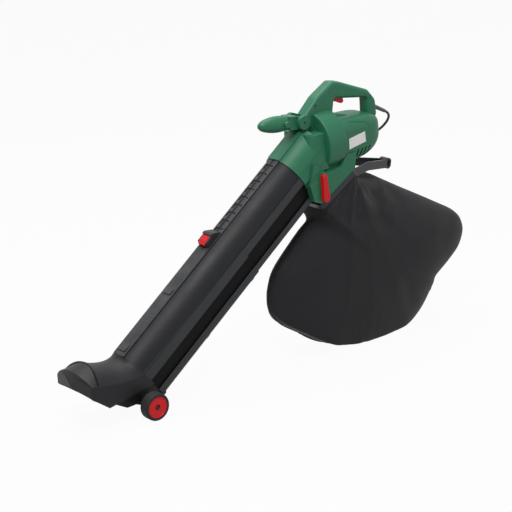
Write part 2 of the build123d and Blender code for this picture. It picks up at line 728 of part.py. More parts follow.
with BuildPart() as housing:
    extrude(duct_face(across_tube(SOCKET_FRONT), SOCKET_INSET), amount=NECK_END - SOCKET_FRONT)
    add(chamber.part)
    add(drum.part)
    add(barrel.part)
    extrude(side_face(BOX), amount=BOX_HALF, both=True)
    extrude(side_face(VOLUTE), amount=VOLUTE_HALF, both=True)
    add(loop.part)
    add(side_disc(PIVOT, PIVOT_DISC_R, PIVOT_HALF))
    # Rooms for the fan, the motor and the outlet
    add(fan_disc(HOUSING_WALL, DRUM_R - HOUSING_WALL, DRUM_WIDE - 2 * HOUSING_WALL), mode=Mode.SUBTRACT)
    add(motor_room.part, mode=Mode.SUBTRACT)
    for along in CRADLES:
        add(fan_disc(along, STATOR_R + FIT_GAP, CRADLE_THICK), mode=Mode.SUBTRACT)
    add(fan_disc(REAR_BEARING_START - 1, BEARING_R + FIT_GAP, CRADLE_THICK), mode=Mode.SUBTRACT)
    with BuildSketch(SIDE) as box_room:
        with BuildLine():
            Polyline(*BOX, close=True)
        make_face()
        offset(amount=-HOUSING_WALL, kind=Kind.INTERSECTION)
    extrude(box_room.sketch, amount=BOX_HALF - HOUSING_WALL, both=True, mode=Mode.SUBTRACT)
    with BuildSketch(SIDE) as volute_room:
        with BuildLine():
            Polyline(*VOLUTE, close=True)
        make_face()
        offset(amount=-HOUSING_WALL, kind=Kind.INTERSECTION)
    extrude(volute_room.sketch, amount=VOLUTE_HALF - HOUSING_WALL, both=True, mode=Mode.SUBTRACT)
    add(loop_room.part, mode=Mode.SUBTRACT)
    with BuildSketch(OUTLET) as mouth:
        with Locations((MOUTH_START + MOUTH_LONG / 2, 0)):
            RectangleRounded(MOUTH_LONG, 2 * MOUTH_HALF, 12)
    extrude(mouth.sketch, amount=2 * HOUSING_WALL, both=True, mode=Mode.SUBTRACT)
    # Socket for the upper tube and the two ducts behind it
    extrude(
        duct_face(across_tube(UPPER_END - SOCKET_ROOM), UPPER_INSET - FIT_GAP),
        amount=SOCKET_ROOM,
        mode=Mode.SUBTRACT,
    )
    bores = duct_bores(across_tube(SOCKET_FRONT), UPPER_INSET + WALL).faces().sort_by(Axis.Z)
    add(suction_way(bores[-1]), mode=Mode.SUBTRACT)
    extrude(bores[0], amount=SOCKET_DEPTH + 12, mode=Mode.SUBTRACT)
    # Room between the pivot cheeks, the flap shaft, and the cord's way out
    add(side_disc(PIVOT, HORN_HUB_R + 1.5, CHEEK_IN), mode=Mode.SUBTRACT)
    swing_room = [
        on_tube(800, LAND_TOP + 2),
        on_tube(868, LAND_TOP + 2),
        (PIVOT[0] + 8, PIVOT[1]),
        (PIVOT[0] + 8, PIVOT[1] + 60),
        (PIVOT[0] - 60, PIVOT[1] + 60),
    ]
    extrude(side_face(swing_room), amount=CHEEK_IN, both=True, mode=Mode.SUBTRACT)
    for turn in (1, -1):
        with BuildSketch(SIDE.offset(turn * PIVOT_HALF)) as dimple:
            with Locations(PIVOT):
                Circle(DIMPLE_R)
        extrude(dimple.sketch, amount=-turn * DIMPLE_DEEP, mode=Mode.SUBTRACT)
    add(side_disc(FLAP_PIVOT, FLAP_SHAFT_R + SHAFT_GAP, BOX_HALF), mode=Mode.SUBTRACT)
    extrude(side_face(TRIGGER_SLOT), amount=TRIGGER_HALF + MOVE_GAP, both=True, mode=Mode.SUBTRACT)
    extrude(side_face(SWITCH_ROOM), amount=SWITCH_HALF + FIT_GAP, both=True, mode=Mode.SUBTRACT)
    add(side_disc(TRIGGER_PIN, TRIGGER_PIN_R, 15), mode=Mode.SUBTRACT)
    add(side_tube(RELIEF_SEAT, RELIEF_TIP, RELIEF_R), mode=Mode.SUBTRACT)
    # Vents through the barrel's lower sides
    with BuildSketch(FAN) as vents:
        for i in range(VENT_COUNT):
            with Locations(Location((VENT_FIRST + i * VENT_PITCH, -52), -20)):
                SlotOverall(30, VENT_WIDE, rotation=90)
    extrude(vents.sketch, amount=DRUM_R, both=True, mode=Mode.SUBTRACT)
    # A shallow arrow on the barrel, a groove by the neck and small vents under the drum, on both sides
    add(arrows.part, mode=Mode.SUBTRACT)
    with BuildSketch(SIDE) as groove:
        with Locations(Location((*GROOVE_MIDDLE, 0), (0, 0, 1), GROOVE_TURN)):
            SlotOverall(GROOVE_LONG, GROOVE_WIDE)
    with BuildSketch(SIDE) as small_vents:
        for centre in SMALL_VENTS:
            with Locations(centre):
                RectangleRounded(SMALL_VENT_LONG, SMALL_VENT_HIGH, 1.2, rotation=11)
    for turn in (1, -1):
        extrude(
            groove.sketch.moved(Location((0, -turn * BOX_HALF, 0))),
            amount=-turn * GROOVE_DEEP,
            mode=Mode.SUBTRACT,
        )
        extrude(
            small_vents.sketch.moved(Location((0, -turn * BOX_HALF, 0))),
            amount=-turn * 2 * HOUSING_WALL,
            mode=Mode.SUBTRACT,
        )
    for centre, half in SCREWS:
        with BuildSketch(SIDE.offset(half)) as well:
            with Locations(centre):
                Circle(SCREW_HEAD_R + MOVE_GAP)
        extrude(well.sketch, amount=-SCREW_WELL_DEPTH, mode=Mode.SUBTRACT)
        with BuildSketch(SIDE.offset(half)) as shank:
            with Locations(centre):
                Circle(SCREW_R + FIT_GAP)
        extrude(shank.sketch, amount=-half - SCREW_END, mode=Mode.SUBTRACT)

with BuildPart() as housing_left:
    add(housing.part)
    split(bisect_by=Plane.XZ, keep=Keep.TOP)
with BuildPart() as housing_right:
    add(housing.part)
    split(bisect_by=Plane.XZ, keep=Keep.BOTTOM)
finish(housing_left, "housing_left")
finish(housing_right, "housing_right")

with BuildPart() as housing_screws:
    for centre, half in SCREWS:
        with BuildSketch(SIDE.offset(half - SCREW_WELL_DEPTH)) as head:
            with Locations(centre):
                Circle(SCREW_HEAD_R)
        extrude(head.sketch, amount=SCREW_HEAD_LONG)
        with BuildSketch(SIDE.offset(half - SCREW_WELL_DEPTH)) as thread:
            with Locations(centre):
                Circle(SCREW_R)
        extrude(thread.sketch, amount=SCREW_WELL_DEPTH - half - SCREW_END + 1)
finish(housing_screws, "housing_screws")

# Motor and fan, along the shaft from the drum's front face
SHAFT_START = 6
SHAFT_END = REAR_BEARING_START + BEARING_WIDE + 2
CORE_R = 24
CORE_START = STATOR_START + 4
CORE_LONG = STATOR_LONG - 8
AIR_GAP = 0.6
COMMUTATOR_R = 12
COMMUTATOR_START = CORE_START + CORE_LONG + 8
COMMUTATOR_LONG = 16
BRUSH_HALF = 4
IMPELLER_R = 76
IMPELLER_START = 16
IMPELLER_DISC = 3
IMPELLER_BLADE = 26
IMPELLER_BLADES = 8
IMPELLER_HUB_R = 16
NUT_R = 8
NUT_LONG = 6


def fan_ring(along, outer, inner, long):
    """A round ring about the motor shaft."""
    with BuildSketch(across_fan(along)) as ring:
        Circle(outer)
        Circle(inner, mode=Mode.SUBTRACT)
    return extrude(ring.sketch, amount=long, mode=Mode.PRIVATE)


with BuildPart() as motor_shaft:
    add(fan_disc(SHAFT_START, SHAFT_R, SHAFT_END - SHAFT_START))
finish(motor_shaft, "motor_shaft")

with BuildPart() as impeller:
    disc_start = IMPELLER_START + IMPELLER_BLADE
    add(fan_ring(disc_start, IMPELLER_R, SHAFT_R, IMPELLER_DISC))
    add(fan_ring(IMPELLER_START, IMPELLER_HUB_R, SHAFT_R, IMPELLER_BLADE))
    with BuildSketch(across_fan(IMPELLER_START)) as blades:
        with PolarLocations(0, IMPELLER_BLADES):
            with Locations(Location(((IMPELLER_R + IMPELLER_HUB_R) / 2 - 2, 0), 12)):
                Rectangle(IMPELLER_R - IMPELLER_HUB_R, 3)
    extrude(blades.sketch, amount=IMPELLER_BLADE)
    add(fan_ring(IMPELLER_START - 1, 2 * IMPELLER_R, IMPELLER_R, 2 * IMPELLER_BLADE), mode=Mode.SUBTRACT)
finish(impeller, "impeller")

with BuildPart() as impeller_nut:
    with BuildSketch(across_fan(IMPELLER_START - NUT_LONG)) as nut:
        RegularPolygon(NUT_R, 6)
        Circle(SHAFT_R, mode=Mode.SUBTRACT)
    extrude(nut.sketch, amount=NUT_LONG)
finish(impeller_nut, "impeller_nut")

BEARING_START = PLATE_START + PLATE_THICK
with BuildPart() as motor_plate:
    add(fan_ring(PLATE_START, PLATE_R, SHAFT_R + 2, PLATE_THICK))
    add(fan_ring(BEARING_START, BEARING_R + 3, BEARING_R, BEARING_WIDE))
finish(motor_plate, "motor_plate")

with BuildPart() as front_bearing:
    add(fan_ring(BEARING_START, BEARING_R, SHAFT_R + SHAFT_GAP, BEARING_WIDE))
finish(front_bearing, "front_bearing")

with BuildPart() as rear_bearing:
    add(fan_ring(REAR_BEARING_START - 1, BEARING_R, SHAFT_R + SHAFT_GAP, BEARING_WIDE))
finish(rear_bearing, "rear_bearing")

with BuildPart() as motor_stator:
    add(fan_ring(STATOR_START, STATOR_R, CORE_R + AIR_GAP, STATOR_LONG))
    for turn in (1, -1):
        with BuildSketch(across_fan(STATOR_START - 6)) as coil:
            with Locations((0, turn * (CORE_R + STATOR_R) / 2)):
                RectangleRounded(34, 14, 5)
        extrude(coil.sketch, amount=STATOR_LONG + 12)
finish(motor_stator, "motor_stator")

with BuildPart() as armature:
    add(fan_ring(CORE_START, CORE_R, SHAFT_R, CORE_LONG))
    with BuildSketch(across_fan(CORE_START)) as teeth:
        with PolarLocations(CORE_R, 12):
            Rectangle(8, 2)
    extrude(teeth.sketch, amount=CORE_LONG, mode=Mode.SUBTRACT)
finish(armature, "armature")

with BuildPart() as commutator:
    add(fan_ring(COMMUTATOR_START, COMMUTATOR_R, SHAFT_R, COMMUTATOR_LONG))
finish(commutator, "commutator")

with BuildPart() as brush_holders:
    for turn in (1, -1):
        with BuildSketch(across_fan(COMMUTATOR_START + 2)) as holder:
            with Locations((turn * (COMMUTATOR_R + 2 + 8), 0)):
                Rectangle(16, 2 * BRUSH_HALF + 4)
        extrude(holder.sketch, amount=REAR_BEARING_START - 1 - COMMUTATOR_START - 2)
        with BuildSketch(across_fan(COMMUTATOR_START + 4)) as pocket:
            with Locations((turn * (COMMUTATOR_R + MOVE_GAP + 8), 0)):
                Rectangle(16, 2 * BRUSH_HALF)
        extrude(pocket.sketch, amount=COMMUTATOR_LONG - 8, mode=Mode.SUBTRACT)
finish(brush_holders, "brush_holders")

with BuildPart() as carbon_brushes:
    for turn in (1, -1):
        with BuildSketch(across_fan(COMMUTATOR_START + 4)) as brush:
            with Locations((turn * (COMMUTATOR_R + MOVE_GAP + 8), 0)):
                Rectangle(16, 2 * BRUSH_HALF)
        extrude(brush.sketch, amount=COMMUTATOR_LONG - 8)
finish(carbon_brushes, "carbon_brushes")

# Front handle: a horn that swivels between the two cheeks
HORN_TIP = (466, 699)
HORN_HUB_HALF = CHEEK_IN - MOVE_GAP
HORN_BORE_R = 5
HORN_DIR = Vector(HORN_TIP[0] - PIVOT[0], 0, HORN_TIP[1] - PIVOT[1])
HORN_LONG = HORN_DIR.length
HORN = Plane(origin=SIDE.from_local_coords((*PIVOT, 0)), x_dir=HORN_DIR, z_dir=(0, -1, 0))
HORN_ROOT = 26
STEM = [(6, -13), (20, -19.5), (44, -20), (44, 19), (20, 19), (6, 13)]
LOCK_AT = (58, 0)
LOCK_R = 9
LOCK_OUT = 31
LOCK_DEPTH = 14

with BuildPart() as front_handle:
    with BuildSketch(HORN) as horn:
        with BuildLine():
            Spline(
                (HORN_ROOT, HORN_HUB_HALF - 1),
                (55, 22),
                (85, 23),
                (115, 18.5),
                (HORN_LONG - 7, 11),
                (HORN_LONG, 0),
                tangents=[(1, 0), (0, -1)],
            )
            Polyline((HORN_LONG, 0), (HORN_ROOT, 0), (HORN_ROOT, HORN_HUB_HALF - 1))
        make_face()
    revolve(horn.sketch, axis=Axis(HORN.origin, HORN_DIR))
    with BuildSketch(HORN) as hub:
        Circle(HORN_HUB_R)
    extrude(hub.sketch, amount=HORN_HUB_HALF, both=True)
    with BuildSketch(HORN) as stem:
        with BuildLine():
            Polyline(*STEM, close=True)
        make_face()
        fillet(stem.vertices(), 2)
    extrude(stem.sketch, amount=HORN_HUB_HALF - 1, both=True)
    with BuildSketch(HORN) as bore:
        Circle(HORN_BORE_R + SHAFT_GAP)
    extrude(bore.sketch, amount=HORN_HUB_HALF, both=True, mode=Mode.SUBTRACT)
    with BuildSketch(HORN.offset(LOCK_OUT)) as lock_well:
        with Locations(LOCK_AT):
            Circle(LOCK_R + 0.3)
    extrude(lock_well.sketch, amount=-LOCK_OUT + 6, mode=Mode.SUBTRACT)
finish(front_handle, "front_handle")

with BuildPart() as lock_button:
    with BuildSketch(HORN.offset(LOCK_OUT - LOCK_DEPTH)) as lock:
        with Locations(LOCK_AT):
            Circle(LOCK_R)
    extrude(lock.sketch, amount=LOCK_DEPTH)
    fillet(lock_button.edges().group_by(Axis.Y)[0], 2)
finish(lock_button, "lock_button")

with BuildPart() as lock_spring:
    with BuildSketch(HORN.offset(6)) as coil_ring:
        with Locations(LOCK_AT):
            Circle(5)
            Circle(4, mode=Mode.SUBTRACT)
    extrude(coil_ring.sketch, amount=5)
finish(lock_spring, "lock_spring")

with BuildPart() as front_handle_bolt:
    add(side_disc(PIVOT, HORN_BORE_R, CHEEK_IN))
finish(front_handle_bolt, "front_handle_bolt")

# Trigger, its pin, its leaf spring and the switch
with BuildPart() as trigger:
    blade = [(729.5, 729), (731, 750), (743, 751), (767, 734), (770, 722), (761, 718), (756, 723)]
    extrude(side_face(blade, 1.5), amount=TRIGGER_HALF, both=True)
    add(side_disc(TRIGGER_PIN, TRIGGER_PIN_R + SHAFT_GAP, TRIGGER_HALF), mode=Mode.SUBTRACT)
finish(trigger, "trigger")

with BuildPart() as trigger_pin:
    add(side_disc(TRIGGER_PIN, TRIGGER_PIN_R, 15))
finish(trigger_pin, "trigger_pin")

with BuildPart() as switch_block:
    with BuildSketch(SIDE) as block:
        with BuildLine():
            Polyline(*SWITCH_ROOM, close=True)
        make_face()
        offset(amount=-1.5, kind=Kind.INTERSECTION)
    extrude(block.sketch, amount=SWITCH_HALF, both=True)
    extrude(side_face(TRIGGER_SLOT), amount=TRIGGER_HALF + 2, both=True, mode=Mode.SUBTRACT)
finish(switch_block, "switch_block")

# Mode lever on the left, with the shaft and the flap it turns
LEVER_TOP = (628, 541)
LEVER_FOOT_R = 12
LEVER_TIP_R = 8
LEVER_THICK = 12
LEVER_IN = BOX_HALF + 2
FLAP_LONG = 36
FLAP_THICK = 3
FLAP_ANGLE = 127
FLAP_HALF = BOX_HALF - HOUSING_WALL - 1
with BuildPart() as mode_lever:
    with BuildSketch(SIDE.offset(LEVER_IN)) as paddle:
        with Locations(FLAP_PIVOT):
            Circle(LEVER_FOOT_R)
        with Locations(LEVER_TOP):
            Circle(LEVER_TIP_R)
        make_hull()
    extrude(paddle.sketch, amount=LEVER_THICK)
    fillet(mode_lever.faces().sort_by(Axis.Y)[0].edges(), 3)
    with BuildSketch(SIDE.offset(LEVER_IN)) as lever_bore:
        with Locations(FLAP_PIVOT):
            Circle(FLAP_SHAFT_R)
    extrude(lever_bore.sketch, amount=LEVER_THICK - 3, mode=Mode.SUBTRACT)
finish(mode_lever, "mode_lever")

with BuildPart() as flap_shaft:
    with BuildSketch(SIDE.offset(-BOX_HALF + 1)) as flap_rod:
        with Locations(FLAP_PIVOT):
            Circle(FLAP_SHAFT_R)
    extrude(flap_rod.sketch, amount=BOX_HALF - 1 + LEVER_IN + LEVER_THICK - 3)
finish(flap_shaft, "flap_shaft")

FLAP_DIR = Vector(cos(radians(FLAP_ANGLE)), 0, sin(radians(FLAP_ANGLE)))
FLAP = Plane(origin=SIDE.from_local_coords((*FLAP_PIVOT, 0)), x_dir=FLAP_DIR, z_dir=(0, -1, 0))
with BuildPart() as diverter_flap:
    with BuildSketch(FLAP) as flap_side:
        Circle(FLAP_SHAFT_R + 1.5)
        with Locations((FLAP_LONG / 2, 0)):
            Rectangle(FLAP_LONG, FLAP_THICK)
        Circle(FLAP_SHAFT_R, mode=Mode.SUBTRACT)
    extrude(flap_side.sketch, amount=FLAP_HALF, both=True)
finish(diverter_flap, "diverter_flap")

# Bag frame: a collar round the outlet and two arms that meet in a tail ring
COLLAR_DEEP = 16
COLLAR_HALF = BOX_HALF + 1.5
TAIL = (932, 511)
TAIL_HIGH = 32
TAIL_LONG = 22
TAIL_TURN = 80
TAIL_HALF = 15
ARM_THICK = 6
ARM_START_X = 742
with BuildPart() as bag_frame:
    with BuildSketch(OUTLET) as collar:
        with Locations((OUTLET_LONG / 2 - 4, 0)):
            RectangleRounded(OUTLET_LONG + 10, 2 * COLLAR_HALF, 14)
        with Locations((MOUTH_START + MOUTH_LONG / 2, 0)):
            RectangleRounded(MOUTH_LONG, 2 * MOUTH_HALF, 12, mode=Mode.SUBTRACT)
    extrude(collar.sketch, amount=COLLAR_DEEP)
with BuildPart() as frame_arms:
    with BuildSketch(Plane(origin=(-MID_X, 0, 0))) as arm_plan:
        for turn in (1, -1):
            with BuildLine():
                Polyline(
                    (ARM_START_X, turn * (COLLAR_HALF - 6)),
                    (TAIL[0], turn * TAIL_HALF),
                    (TAIL[0], turn * (TAIL_HALF - ARM_THICK)),
                    (ARM_START_X, turn * (COLLAR_HALF - 6 - ARM_THICK)),
                    close=True,
                )
            make_face()
    extrude(arm_plan.sketch, amount=700)
    arm_band = [
        (ARM_START_X, 514),
        (752, 536),
        (826, 540),
        (TAIL[0], 522),
        (TAIL[0], 498),
        (826, 515),
        (752, 512),
    ]
    extrude(side_face(arm_band), amount=COLLAR_HALF, both=True, mode=Mode.INTERSECT)
with BuildPart() as bag_frame_whole:
    add(bag_frame.part)
    add(frame_arms.part)
    with BuildSketch(SIDE) as tail:
        with Locations(TAIL):
            SlotOverall(TAIL_HIGH, TAIL_LONG, rotation=TAIL_TURN)
    extrude(tail.sketch, amount=TAIL_HALF, both=True)
    with BuildSketch(SIDE) as tail_hole:
        with Locations(TAIL):
            SlotOverall(TAIL_HIGH - 2 * ARM_THICK, TAIL_LONG - 2 * ARM_THICK + 1, rotation=TAIL_TURN)
    extrude(tail_hole.sketch, amount=2 * TAIL_HALF, both=True, mode=Mode.SUBTRACT)
finish(bag_frame_whole, "bag_frame")

# Bag: a thin-walled pillow with its seam in the middle plane and a flat where it stands
BAG_HALF = 92
BAG_WALL = 1.2
BAG_SAG = 26
NECK_HALF = COLLAR_HALF - 5
NECK_SHORT = 24
BAG_STAGES = [(0, 0), (34, 9), (70, 46), (BAG_HALF, 108)]


def bag_face(depth, inset):
    """The bag's outline in side view at a depth from the seam, drawn in by inset."""
    with BuildSketch(SIDE.offset(depth)) as face:
        with BuildLine():
            Polyline((640, 440), (748, 500), (892, 482), (1140, 360))
            ThreePointArc((1140, 360), (BAG_REAR_X, 240), (1160, 140))
            Line((1160, 140), (1010, 2))
            ThreePointArc((1010, 2), (840, -BAG_SAG), (660, 18))
            Line((660, 18), (520, 112))
            ThreePointArc((520, 112), (469, 205), (540, 318))
            Line((540, 318), (640, 440))
        make_face()
        if inset:
            offset(amount=-inset, kind=Kind.INTERSECTION)
    return face.sketch


def bag_neck(inset):
    """The cloth under the collar, as wide as the collar, drawn in by inset."""
    front = OUTLET.from_local_coords((inset, 0, COLLAR_DEEP + inset))
    rear = OUTLET.from_local_coords((OUTLET_LONG - NECK_SHORT - inset, 0, COLLAR_DEEP + inset))
    flank = [(p.X + MID_X, p.Z) for p in (front, rear)]
    flank += [(775 - inset, 492), (700, 420), (655 + inset, 418)]
    return extrude(side_face(flank), amount=NECK_HALF - inset, both=True, mode=Mode.PRIVATE)


with BuildPart() as bag:
    stages = [(-d, i) for d, i in reversed(BAG_STAGES[1:])] + BAG_STAGES
    loft([bag_face(d, i) for d, i in stages], ruled=True)
    add(bag_neck(0))
    inner_stages = [(d * (1 - BAG_WALL / BAG_HALF), i + BAG_WALL) for d, i in stages]
    loft([bag_face(d, i) for d, i in inner_stages], ruled=True, mode=Mode.SUBTRACT)
    add(bag_neck(BAG_WALL), mode=Mode.SUBTRACT)
    with BuildSketch(Plane(origin=(0, 0, -100))) as ground:
        Rectangle(4000, 1000)
    extrude(ground.sketch, amount=100, mode=Mode.SUBTRACT)
finish(bag, "bag")

# Cord: a short lead with its plug, hanging behind the motor on the right
CORD_POINTS = [
    (934, 0, 666),
    (951.9, 0, 657.05),
    (957, 9, 634),
    (947, 30, 607),
    (925, 55, 585),
    (898, 76, 566),
    (876, 92, 540),
    (863, 101, 508),
    (857, 106, 474),
    (855, 108, 441),
]
PLUG_R = 13
PLUG_NECK_R = 6
PLUG_LONG = 42
PIN_R = 2.4
PIN_LONG = 19
PIN_SPACING = 19

with BuildPart() as strain_relief:
    add(side_tube(RELIEF_ROOT, RELIEF_TIP, RELIEF_R, RELIEF_TIP_R))
    add(side_tube(RELIEF_SEAT, RELIEF_ROOT, RELIEF_R - FIT_GAP))
finish(strain_relief, "strain_relief")

cord_path = [Vector(x - MID_X, y, z) for x, y, z in CORD_POINTS]
runs = [b - a for a, b in zip(cord_path, cord_path[1:])]
cord_radii = []
for before, after in zip(runs, runs[1:]):
    half_turn = radians(before.get_angle(after)) / 2
    cord_radii.append(0.45 * min(before.length, after.length) / tan(half_turn))
print("cord radii", [round(r, 1) for r in cord_radii])
with BuildPart() as power_cord:
    with BuildLine() as route:
        FilletPolyline(*cord_path, radius=cord_radii)
    with BuildSketch(Plane(origin=cord_path[0], z_dir=runs[0])):
        Circle(CORD_R)
    sweep()
print("cord length", round(sum(edge.length for edge in route.edges()), 1))
finish(power_cord, "power_cord")

PLUG = Plane(origin=cord_path[-1], x_dir=(1, 0, 0), z_dir=runs[-1])
with BuildPart() as plug_body:
    with BuildSketch(PLUG) as plug_neck:
        Circle(PLUG_NECK_R)
    with BuildSketch(PLUG.offset(PLUG_LONG * 0.55)) as plug_waist:
        Ellipse(PLUG_R + 4, PLUG_R)
    with BuildSketch(PLUG.offset(PLUG_LONG)) as plug_face:
        Ellipse(PLUG_R + 5, PLUG_R)
    loft([plug_neck.sketch, plug_waist.sketch, plug_face.sketch], ruled=True)
finish(plug_body, "plug_body")

with BuildPart() as plug_pins:
    with BuildSketch(PLUG.offset(PLUG_LONG)) as pins:
        with GridLocations(PIN_SPACING, 0, 2, 1):
            Circle(PIN_R)
    extrude(pins.sketch, amount=PIN_LONG)
finish(plug_pins, "plug_pins")
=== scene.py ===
"""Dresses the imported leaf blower: cord, collecting bag, bare plate and the finish of every node."""

from math import cos, pi, radians, sin

import bpy
import numpy as np
from bpy.props import FloatProperty, FloatVectorProperty, IntProperty, PointerProperty
from mathutils import Matrix, Vector
from mathutils.bvhtree import BVHTree


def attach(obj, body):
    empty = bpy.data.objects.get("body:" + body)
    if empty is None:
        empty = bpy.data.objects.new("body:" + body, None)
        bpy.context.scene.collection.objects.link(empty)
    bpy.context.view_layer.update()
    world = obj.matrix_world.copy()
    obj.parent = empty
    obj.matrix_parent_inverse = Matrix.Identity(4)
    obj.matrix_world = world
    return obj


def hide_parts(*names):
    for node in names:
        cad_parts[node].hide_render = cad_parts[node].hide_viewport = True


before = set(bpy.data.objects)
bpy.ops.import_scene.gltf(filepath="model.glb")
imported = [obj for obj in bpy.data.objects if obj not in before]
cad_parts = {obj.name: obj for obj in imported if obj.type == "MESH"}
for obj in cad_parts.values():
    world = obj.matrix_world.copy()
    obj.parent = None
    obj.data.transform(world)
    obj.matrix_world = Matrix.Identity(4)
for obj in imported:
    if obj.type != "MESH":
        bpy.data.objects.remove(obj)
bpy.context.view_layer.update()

bl_info = {
    "name": "Leaf blower dressing",
    "version": (1, 0, 0),
    "blender": (4, 5, 0),
    "location": "View3D > Sidebar > Leaf blower",
    "description": "Cord, bag, trim and finishes of a garden leaf blower",
    "category": "Object",
}

# The part's middle, back from its axle, so that side views read in mm from the axle
MIDDLE = 527.5


def from_axle(points):
    """Side-view points (back, high) in mm from the axle become rows (x, z) in metres in the row frame."""
    rows = np.asarray(points, float)
    return np.stack([rows[:, 0] - MIDDLE, rows[:, 1]], axis=1) / 1000


# Settings that a user would change


class BlowerColours(bpy.types.PropertyGroup):
    """Colours of the finishes, in linear light."""

    shell: FloatVectorProperty(
        name="Shell", description="Moulded housing", subtype="COLOR", size=3, min=0, max=1,
        default=(0.019, 0.135, 0.068))
    tube: FloatVectorProperty(
        name="Tube", description="Grained duct tubes", subtype="COLOR", size=3, min=0, max=1,
        default=(0.0095, 0.010, 0.0115))
    control: FloatVectorProperty(
        name="Controls", description="Trigger, lever, latch and hubs", subtype="COLOR", size=3, min=0, max=1,
        default=(0.560, 0.004, 0.008))
    bag: FloatVectorProperty(
        name="Bag", description="Woven bag cloth", subtype="COLOR", size=3, min=0, max=1,
        default=(0.014, 0.014, 0.016))
    frame_black: FloatVectorProperty(
        name="Bag frame", description="Moulded bag frame", subtype="COLOR", size=3, min=0, max=1,
        default=(0.016, 0.018, 0.023))


class BlowerSizes(bpy.types.PropertyGroup):
    """Sizes of the pieces that the scene adds."""

    bag_half: FloatProperty(
        name="Bag half width", description="From the seam to the fullest point", unit="LENGTH",
        default=0.088, min=0.03, max=0.12)
    crease: FloatProperty(
        name="Crease depth", description="Depth of the deepest fold in the bag", unit="LENGTH",
        default=0.010, min=0, max=0.03)
    binding: FloatProperty(
        name="Binding radius", description="Half the thickness of the bound seam", unit="LENGTH",
        default=0.0022, min=0.001, max=0.006)
    zip_teeth: IntProperty(
        name="Zip teeth", description="Teeth along the emptying zip", default=150, min=10, max=400)
    plate: FloatProperty(
        name="Plate thickness", description="Thickness of the bare plate", unit="LENGTH",
        default=0.0006, min=0.0002, max=0.002)


# Camera: fitted to the wheels, the tube and the housing of the photograph
CAMERA_AT = Vector((-2.8615, -3.6012, 1.7538))
CAMERA_AZIMUTH = 38.3
CAMERA_RISE = 15.5
CAMERA_PITCH = 3.0
FOCAL_PIXELS = 1700
PHOTO_SIDE = 512


def camera_axes():
    """Right, up and forward of a level view turned by the azimuth, tipped by the rise and then pitched."""
    az, rise, pitch = radians(CAMERA_AZIMUTH), radians(CAMERA_RISE), radians(CAMERA_PITCH)
    forward = Vector((cos(rise) * sin(az), cos(rise) * cos(az), -sin(rise)))
    right = Vector((cos(az), -sin(az), 0))
    up = right.cross(forward)
    tip = Matrix(((cos(pitch), 0, sin(pitch)), (0, 1, 0), (-sin(pitch), 0, cos(pitch))))
    return tip @ right, tip @ up, tip @ forward


# Mesh helpers


def grid_faces(rows, columns, wrap_rows=False, wrap_columns=False):
    """Quads between neighbours of a grid; where rows or columns wrap, the last is joined to the first."""
    i = np.arange(rows if wrap_rows else rows - 1)
    j = np.arange(columns if wrap_columns else columns - 1)
    a, b = np.meshgrid(i, j, indexing="ij")
    c, d = (a + 1) % rows, (b + 1) % columns
    quads = np.stack([a * columns + b, a * columns + d, c * columns + d, c * columns + b], axis=-1)
    return quads.reshape(-1, 4)


def add_mesh(name, points, faces, smooth=True):
    """Mesh object from whole arrays of points and faces."""
    mesh = bpy.data.meshes.new(name)
    mesh.from_pydata(np.asarray(points, float).reshape(-1, 3).tolist(), [], np.asarray(faces).tolist())
    mesh.update()
    mesh.polygons.foreach_set("use_smooth", np.full(len(mesh.polygons), smooth))
    piece = bpy.data.objects.new(name, mesh)
    bpy.context.scene.collection.objects.link(piece)
    return piece


def point_outwards(piece, merge=0.0):
    """Merges points closer than merge, then turns every face of a closed piece outwards."""
    bpy.ops.object.select_all(action="DESELECT")
    piece.select_set(True)
    bpy.context.view_layer.objects.active = piece
    bpy.ops.object.mode_set(mode="EDIT")
    bpy.ops.mesh.select_all(action="SELECT")
    if merge:
        bpy.ops.mesh.remove_doubles(threshold=merge)
    bpy.ops.mesh.normals_make_consistent(inside=False)
    bpy.ops.object.mode_set(mode="OBJECT")


def closed_slab(name, outer, inner, shape, smooth=True):
    """A grid of outer points and one of inner points, joined round their rims into a closed slab."""
    count = shape[0] * shape[1]
    faces = grid_faces(*shape)
    index = np.arange(count).reshape(shape)
    rim = np.concatenate([index[:-1, 0], index[-1, :-1], index[:0:-1, -1], index[0, :0:-1]])
    ahead = np.roll(rim, -1)
    wall = np.stack([rim, ahead, ahead + count, rim + count], axis=1)
    faces = np.concatenate([faces, faces[:, ::-1] + count, wall])
    slab = add_mesh(name, np.concatenate([outer, inner]), faces, smooth)
    point_outwards(slab)
    return slab


def closed_spline(points, count):
    """Periodic Catmull-Rom curve through the points: count places at even steps of length."""
    p = np.asarray(points, float)
    t = np.linspace(0, len(p), 40 * len(p), endpoint=False)
    k = t.astype(int)
    f = (t - k)[:, None]
    a, b, c, d = (p[(k + s) % len(p)] for s in (-1, 0, 1, 2))
    dense = 0.5 * (2 * b + (c - a) * f + (2 * a - 5 * b + 4 * c - d) * f**2 + (3 * b - a - 3 * c + d) * f**3)
    ring = np.vstack([dense, dense[:1]])
    along = np.concatenate([[0], np.cumsum(np.linalg.norm(np.diff(ring, axis=0), axis=1))])
    even = np.linspace(0, along[-1], count, endpoint=False)
    return np.stack([np.interp(even, along, ring[:, i]) for i in range(p.shape[1])], axis=1)


TUBE_SIDES = 10
# Close to the Y axis, and along no run of a path
TUBE_AXIS = (0.02, 1.0, 0.03)


